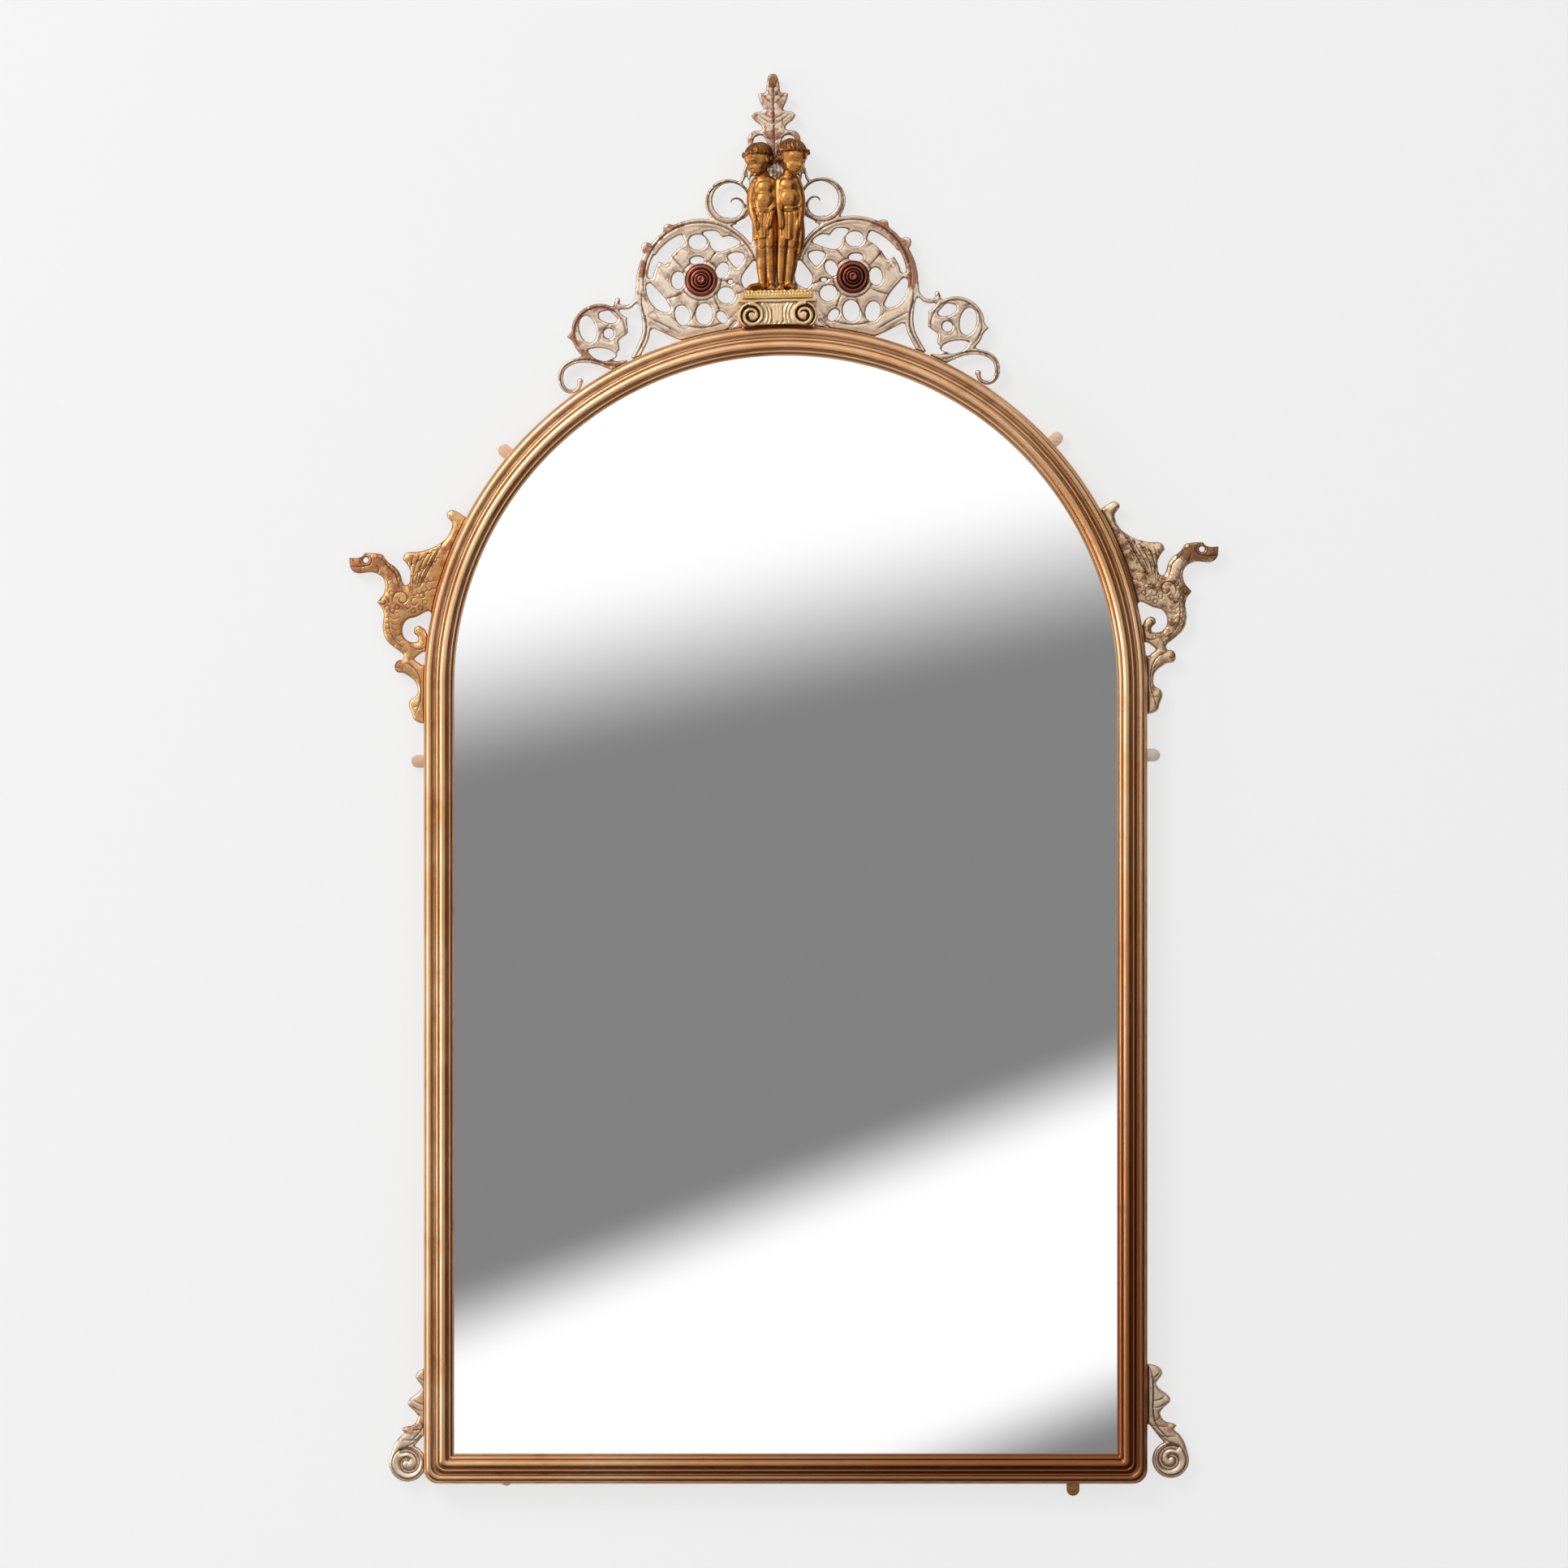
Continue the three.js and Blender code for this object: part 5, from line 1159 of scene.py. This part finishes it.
right_child = {
    "head": ((7.2, 11.4, 131.4), 16.6, 36, 16, 6),
    "lumps": [
        (3.8, 8.6, 78, 13.0, 9.8, 11), (2.8, 10.8, 91, 11.8, 10.6, 12), (1.6, 9.6, 103, 11.0, 9.4, 11),
        (1.6, 8.4, 110, 10.4, 7.0, 6), (5.4, 12.4, 104.4, 4.4, 4.2, 4.6), (-2.6, 12.2, 104.4, 4.4, 4.2, 4.6),
        *toes(8.6, 18.0, (0.45, 0.9)), *toes(-5.2, 19.8, (-0.1, 1)),
    ],
    "limbs": [
        ([(2.2, 8.4, 110, 7.2), (3.6, 9.2, 116, 6.6), (5.0, 10.0, 122, 6.4)], 1.0),
        ([(8.4, 8.8, 76, 9.6), (8.4, 9.8, 62, 8.6), (7.2, 11.0, 48, 7.0), (6.2, 8.8, 37, 6.6),
          (5.2, 7.8, 26, 6.4), (3.4, 7.4, 11, 4.8), (3.2, 7.8, 5, 4.8)], 1.0),
        ([(3.2, 7.0, 4.6, 4.4), (5.2, 12.2, 4.2, 4.0), (7.8, 16.4, 3.0, 3.1)], 1.0),
        ([(-1.2, 8.8, 76, 8.6), (-1.6, 10.6, 62, 7.8), (-2.4, 12.2, 48, 6.4), (-3.2, 9.8, 37, 5.8),
          (-3.8, 8.8, 26, 5.6), (-4.6, 8.4, 11, 4.2), (-4.6, 8.8, 5, 4.3)], 1.0),
        ([(-4.6, 8, 4.4, 4.0), (-4.8, 13, 4.0, 3.8), (-5.2, 17.8, 3.0, 3.0)], 1.0),
        ([(9.6, 9.0, 108.4, 5.8), (13.0, 9.0, 98.6, 5.4), (14.8, 10.0, 87, 5.0), (14.8, 13.0, 76, 4.3),
          (13.4, 15.8, 68, 3.5)], 1.0),
        ([(13.4, 15.8, 68, 3.5), (12.6, 16.8, 64, 3.4), (12.0, 17.0, 60.4, 2.3)], 0.8),
        ([(-6.2, 9.6, 107.6, 5.0), (-6.6, 12.0, 98, 4.6), (-6.2, 14.8, 87, 4.2), (-5.4, 17.2, 78, 3.6),
          (-4.6, 18.4, 70, 3.1)], 1.0),
        ([(-4.6, 18.4, 70, 3.1), (-4.2, 18.8, 65.6, 3.1), (-3.8, 18.4, 62, 2.1)], 0.8),
        ([(14.4, 11.0, 76, 3.4), (15.4, 10.6, 58, 3.8), (15.0, 10.0, 46, 3.6), (13.4, 9.6, 37.6, 2.8)], 1.7),
    ],
    "cloth": ((3.8, 9.0), 50, 82, 12.4, 10.0, 7, -3.0),
    "folds": [
        ([(-7.4, 80.6), (-1, 78), (8, 78), (14, 81)], 0.6, 1.2),
        ([(-7.4, 84), (-1, 81.8), (8, 81.8), (14, 84.4)], -0.8, 1.4),
        ([(-3.4, 76), (-3.8, 66), (-3.4, 54)], 0.5, 1.0), ([(2, 76), (1.8, 66), (2.2, 53)], 0.5, 1.1),
        ([(7.4, 76), (7.8, 64), (7.2, 51)], 0.5, 1.0), ([(12.6, 74), (13.2, 58), (12.0, 42)], 0.6, 0.9),
        ([(2.8, 90.0), (2.9, 89.4)], 0.8, 0.9), ([(16.8, 72), (17.4, 58), (15.6, 42)], 0.4, 0.8),
        ([(3.6, 43), (6.6, 41.4), (9.8, 43)], 0.4, 1.1), ([(-5.4, 43), (-3, 41.6), (-0.4, 43)], 0.4, 1.1),
    ],
}

children = [child(-1, left_child), child(1, right_child)]
golden = worn_bronze("golden bronze", (0.58, 0.265, 0.072), (0.28, 0.10, 0.022), (0.022, 0.007, 0.002),
                     (0.14, 0.04, 0.011), rough=0.32, cover=0.75, grain=0.7, hair=(0.13, 0.042, 0.014))
for piece in children:
    clad(piece, golden)


# ---------- the plinth and the capital ----------
# The children stand on a thin beaded plinth, and the plinth on a small capital with two volutes,
# cast in one with the crest's pale bronze: deep recesses round each curl, upright flutes between.

def worked_copy(name, node):
    """The frame's own piece and the lumps of the heap, drawn together as one body."""
    heap.append(shape_of(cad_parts[node]))
    made = heaped(name)
    in_edit(made, merge)
    draw_together(made, 0.5 * MM, 3)
    return made


def tube(points):
    """A smooth bar of lumps: x, y and z in millimetres, and radius."""
    spot = None
    for row in smooth_line(points):
        if spot is None or np.linalg.norm(row[:3] - spot[:3]) > 0.35 * row[3]:
            spot = row
            heap.append((LUMP_SPOTS * row[3] + row[:3] * MM, LUMP_FACES))


def on_crest(x, z):
    """Millimetres from the crest's own centre line and the arch's centre, to places after the slip."""
    c, s = math.cos(CREST_SLIP), math.sin(CREST_SLIP)
    return x * c - z * s, x * s + z * c


FACE_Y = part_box("volute_capital")[0].y / MM
CURL_X, CURL_R, CURL_Z = 25.6, 13.2, TOP + 25 - 13.2 - 2.6
STEPS = 70
curls = []
for side in (-1, 1):
    start = math.radians(90 - 8 * side)
    turns = np.linspace(start, start + side * math.radians(560), STEPS)
    radii = np.linspace(CURL_R - 1.6, 3.2, STEPS)
    line = np.column_stack([side * CURL_X + radii * np.cos(turns), CURL_Z + radii * np.sin(turns)])
    curls.append(line)
    points = [(*on_crest(*at), r) for at, r in zip(line, np.linspace(1.9, 1.25, STEPS))]
    tube([(x, FACE_Y + 1.6, z, r) for x, z, r in points])
    x, z = on_crest(side * CURL_X, CURL_Z)
    tube([(x, FACE_Y + 3.4, z, 3.3), (x, FACE_Y + 2.4, z, 2.6)])
    # bands that bend round each volute towards the middle
    for r, wide in ((15.4, 1.4), (18.6, 1.2)):
        bend = np.radians(np.linspace(-26, 44, 12))
        points = [on_crest(side * (CURL_X - r * math.cos(a)), CURL_Z + r * math.sin(a)) for a in bend]
        tube([(x, FACE_Y + 2.6, z, wide) for x, z in points])
# the flutes, and the bar along the top with its returns
for k in (-1, 0, 1):
    low, high = on_crest(k * 3.7, TOP + 3.4), on_crest(k * 3.7, TOP + 19)
    tube([(low[0], FACE_Y + 3.2, low[1], 1.3), (high[0], FACE_Y + 3.0, high[1], 1.5)])
for end in (-1, 1):
    x, z = on_crest(end * 37.6, TOP + 23.4)
    tube([(x, FACE_Y + 3, z, 1.5), (x, FACE_Y + 14, z, 1.5)])
left, right = on_crest(-37.6, TOP + 23.5), on_crest(37.6, TOP + 23.5)
tube([(left[0], FACE_Y + 1.6, left[1], 1.6), (right[0], FACE_Y + 1.6, right[1], 1.6)])
capital = worked_copy("capital", "volute_capital")
# the ground of each volute is sunk between the turns of its curl
spots = read_spots(capital.data)[0]
spiral = np.vstack([[on_crest(*at) for at in smooth_line(line, 0.4)] for line in curls]) * MM
_, away = nearest(spiral, spots[:, [0, 2]])
eye = np.minimum(*(np.hypot(spots[:, 0] - x * MM, spots[:, 2] - z * MM)
                   for x, z in (on_crest(side * CURL_X, CURL_Z) for side in (-1, 1))))
inside = np.clip((11.6 * MM - eye) / (1.2 * MM), 0, 1) * np.clip((eye - 3.0 * MM) / (1.2 * MM), 0, 1)
sunk = inside * np.clip((away - 1.5 * MM) / (1.0 * MM), 0, 1) * (spots[:, 1] < (FACE_Y + 7) * MM)
spots[:, 1] += 4.2 * MM * sunk
write_spots(capital.data, spots)
# the sunk ground and the hollows are darkened, with patina and painted shade
paint(capital.data, "hollow", 0.9 * sunk)
paint_hollow_shade_and_wear(capital, 22, 0.7 * MM)

# a row of beads, and a row of small leaves that lean this way and that
EDGE_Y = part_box("figure_plinth")[0].y / MM
for k in range(24):
    x, z = on_crest(-33.4 + 66.8 * k / 23, TOP + 29.6)
    tube([(x, EDGE_Y + 1.3, z, 1.55), (x, EDGE_Y + 1.5, z + 0.5, 1.4)])
for k in range(17):
    x, z = on_crest(-32 + 4 * k, TOP + 32.6)
    lean = 1.4 * math.sin(2.4 * k)
    tube([(x, EDGE_Y + 2.4, z - 1, 1.3), (x + lean, EDGE_Y + 3.2, z + 1.2, 0.8)])
plinth = worked_copy("plinth", "figure_plinth")
# painted shade and patina in the hollows, wear on the edges
paint_hollow_shade_and_wear(plinth, 22, 0.7 * MM)

cream = worn_bronze("cream bronze", (0.88, 0.68, 0.43), (0.70, 0.46, 0.24), (0.09, 0.032, 0.010),
                    (0.40, 0.18, 0.07), rough=0.32, cover=0.4, grain=0.8)
gilt = worn_bronze("gilt bronze", (0.84, 0.56, 0.24), (0.62, 0.35, 0.11), (0.07, 0.024, 0.006),
                   (0.34, 0.13, 0.04), rough=0.32, cover=0.5, grain=0.8)
for piece, node, finish in ((capital, "volute_capital", cream), (plinth, "figure_plinth", gilt)):
    pick(piece)
    bpy.ops.object.shade_smooth()
    clad(piece, finish)
    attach(piece, "frame")
    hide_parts(node)


# ---------- the bosses ----------
# A turned boss of dark red-brown bronze sits in the middle of each flower, held by a stud through
# the plate: a thin flange, two round rings, a smaller ring, and a button with a pit.

def half_round(r0, r1, h, rise):
    """A round ring of the profile between two radii."""
    turns = [math.pi * k / 7 for k in range(8)]
    return [(0.5 * (r0 + r1) + 0.5 * (r0 - r1) * math.cos(a), h + rise * math.sin(a)) for a in turns]


# radius and height above the back of the plate, from the stud to the pit of the button
BOSS = [(0.0, 0.0), (2.5, 0.0), (2.5, 6.0), (16.2, 6.0), (16.5, 6.4), (16.4, 7.4), (15.9, 7.9), (15.4, 7.8)]
BOSS += half_round(15.0, 11.2, 8.4, 1.9)
BOSS += half_round(10.6, 7.4, 10.4, 1.7)
BOSS += half_round(6.9, 4.9, 12.8, 1.1)
BOSS += [(4.5, 13.4), (4.3, 15.4), (3.9, 17.4), (3.4, 18.6), (2.4, 19.0), (1.6, 18.7), (1.0, 18.0)]
BOSS += [(0.4, 17.6)]

oxblood = worn_bronze("oxblood bronze", (0.36, 0.12, 0.075), (0.20, 0.058, 0.038), (0.024, 0.007, 0.005),
                      (0.09, 0.025, 0.016), rough=0.3, cover=0.4, grain=0.6)
for side, node in ((-1, "left_boss"), (1, "right_boss")):
    low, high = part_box(node)
    centre = 0.5 * (low + high)

    def on_lathe(ring, turn):
        r, h = max(BOSS[ring][0], 0.02) * MM, BOSS[ring][1] * MM
        return centre.x + r * math.cos(turn), high.y - h, centre.z + r * math.sin(turn)

    made = ringed(node + "_turned", 80, len(BOSS), on_lathe)
    bpy.ops.object.shade_smooth_by_angle(angle=math.radians(45))
    # painted shade and patina in the hollows of the rings, wear on the edges
    paint_hollow_shade_and_wear(made, 6, 0.5 * MM)
    clad(made, oxblood)
    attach(made, "frame")
    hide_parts(node)


# ---------- the turn buttons ----------
# Six small flat bars of bronze, each on a brass screw, that turn to free the backboard. Only their
# round ends show past the frame. Their edges are filed round.

pinkish = worn_bronze("pinkish bronze", (0.80, 0.55, 0.40), (0.64, 0.38, 0.24), (0.12, 0.05, 0.03),
                      (0.38, 0.17, 0.10), cover=0.35)
greyish = worn_bronze("greyish bronze", (0.86, 0.76, 0.64), (0.68, 0.56, 0.44), (0.12, 0.06, 0.03),
                      (0.40, 0.22, 0.14), cover=0.35)
brownish = worn_bronze("brownish bronze", (0.60, 0.34, 0.12), (0.34, 0.16, 0.05), (0.05, 0.016, 0.005),
                       (0.20, 0.07, 0.02), cover=0.5)
BUTTONS = {"upper_left": pinkish, "upper_right": pinkish, "side_left": pinkish, "side_right": greyish,
           "lower_left": greyish, "lower_right": brownish}
for name, finish in BUTTONS.items():
    made = copied(name + "_bar", name + "_button")
    in_edit(made, merge)
    modify(made, "BEVEL", width=0.7 * MM, segments=4, angle_limit=math.radians(50))
    bpy.ops.object.shade_smooth_by_angle(angle=math.radians(40))
    clad(made, finish)
    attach(made, name + "_button")
    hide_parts(name + "_button")


# ---------- the fittings behind ----------
# Screws, pivots and the two keyhole hangers are dull zinc-plated steel; the four bumpers that keep
# the frame off the wall are soft rubber. They are the frame's own nodes and only get their finish.

zinc = metal("dull zinc", (0.50, 0.50, 0.47), (0.36, 0.36, 0.34), (0.08, 0.08, 0.08),
             (0.26, 0.24, 0.20), rough=0.42)
rubber = bpy.data.materials.new("soft rubber")
bench = Bench(rubber)
dust = bench.cloud(60.0, 5.0, 0.6)
tone = bench.blend(bench.band(dust, 0.45, 0.75), (0.022, 0.021, 0.02), (0.07, 0.065, 0.06))
bump = bench.node("Bump", inputs={"Strength": 0.15, "Distance": 0.3 * MM, "Height": bench.cloud(700.0, 2.0)})
bench.finish(bench.node("BsdfPrincipled", inputs={"Base Color": tone, "Roughness": 0.75, "Normal": bump}))
FINISHES = {"steel": zinc, "rubber": rubber}
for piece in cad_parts.values():
    named = piece.data.materials[0].name
    if named in FINISHES:
        clad(piece, FINISHES[named])


# ---------- sizes, and the end ----------

low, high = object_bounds()
'{"cad": %s, "visual": %s}' % ([list(cad_low), list(cad_high)], [list(low), list(high)])
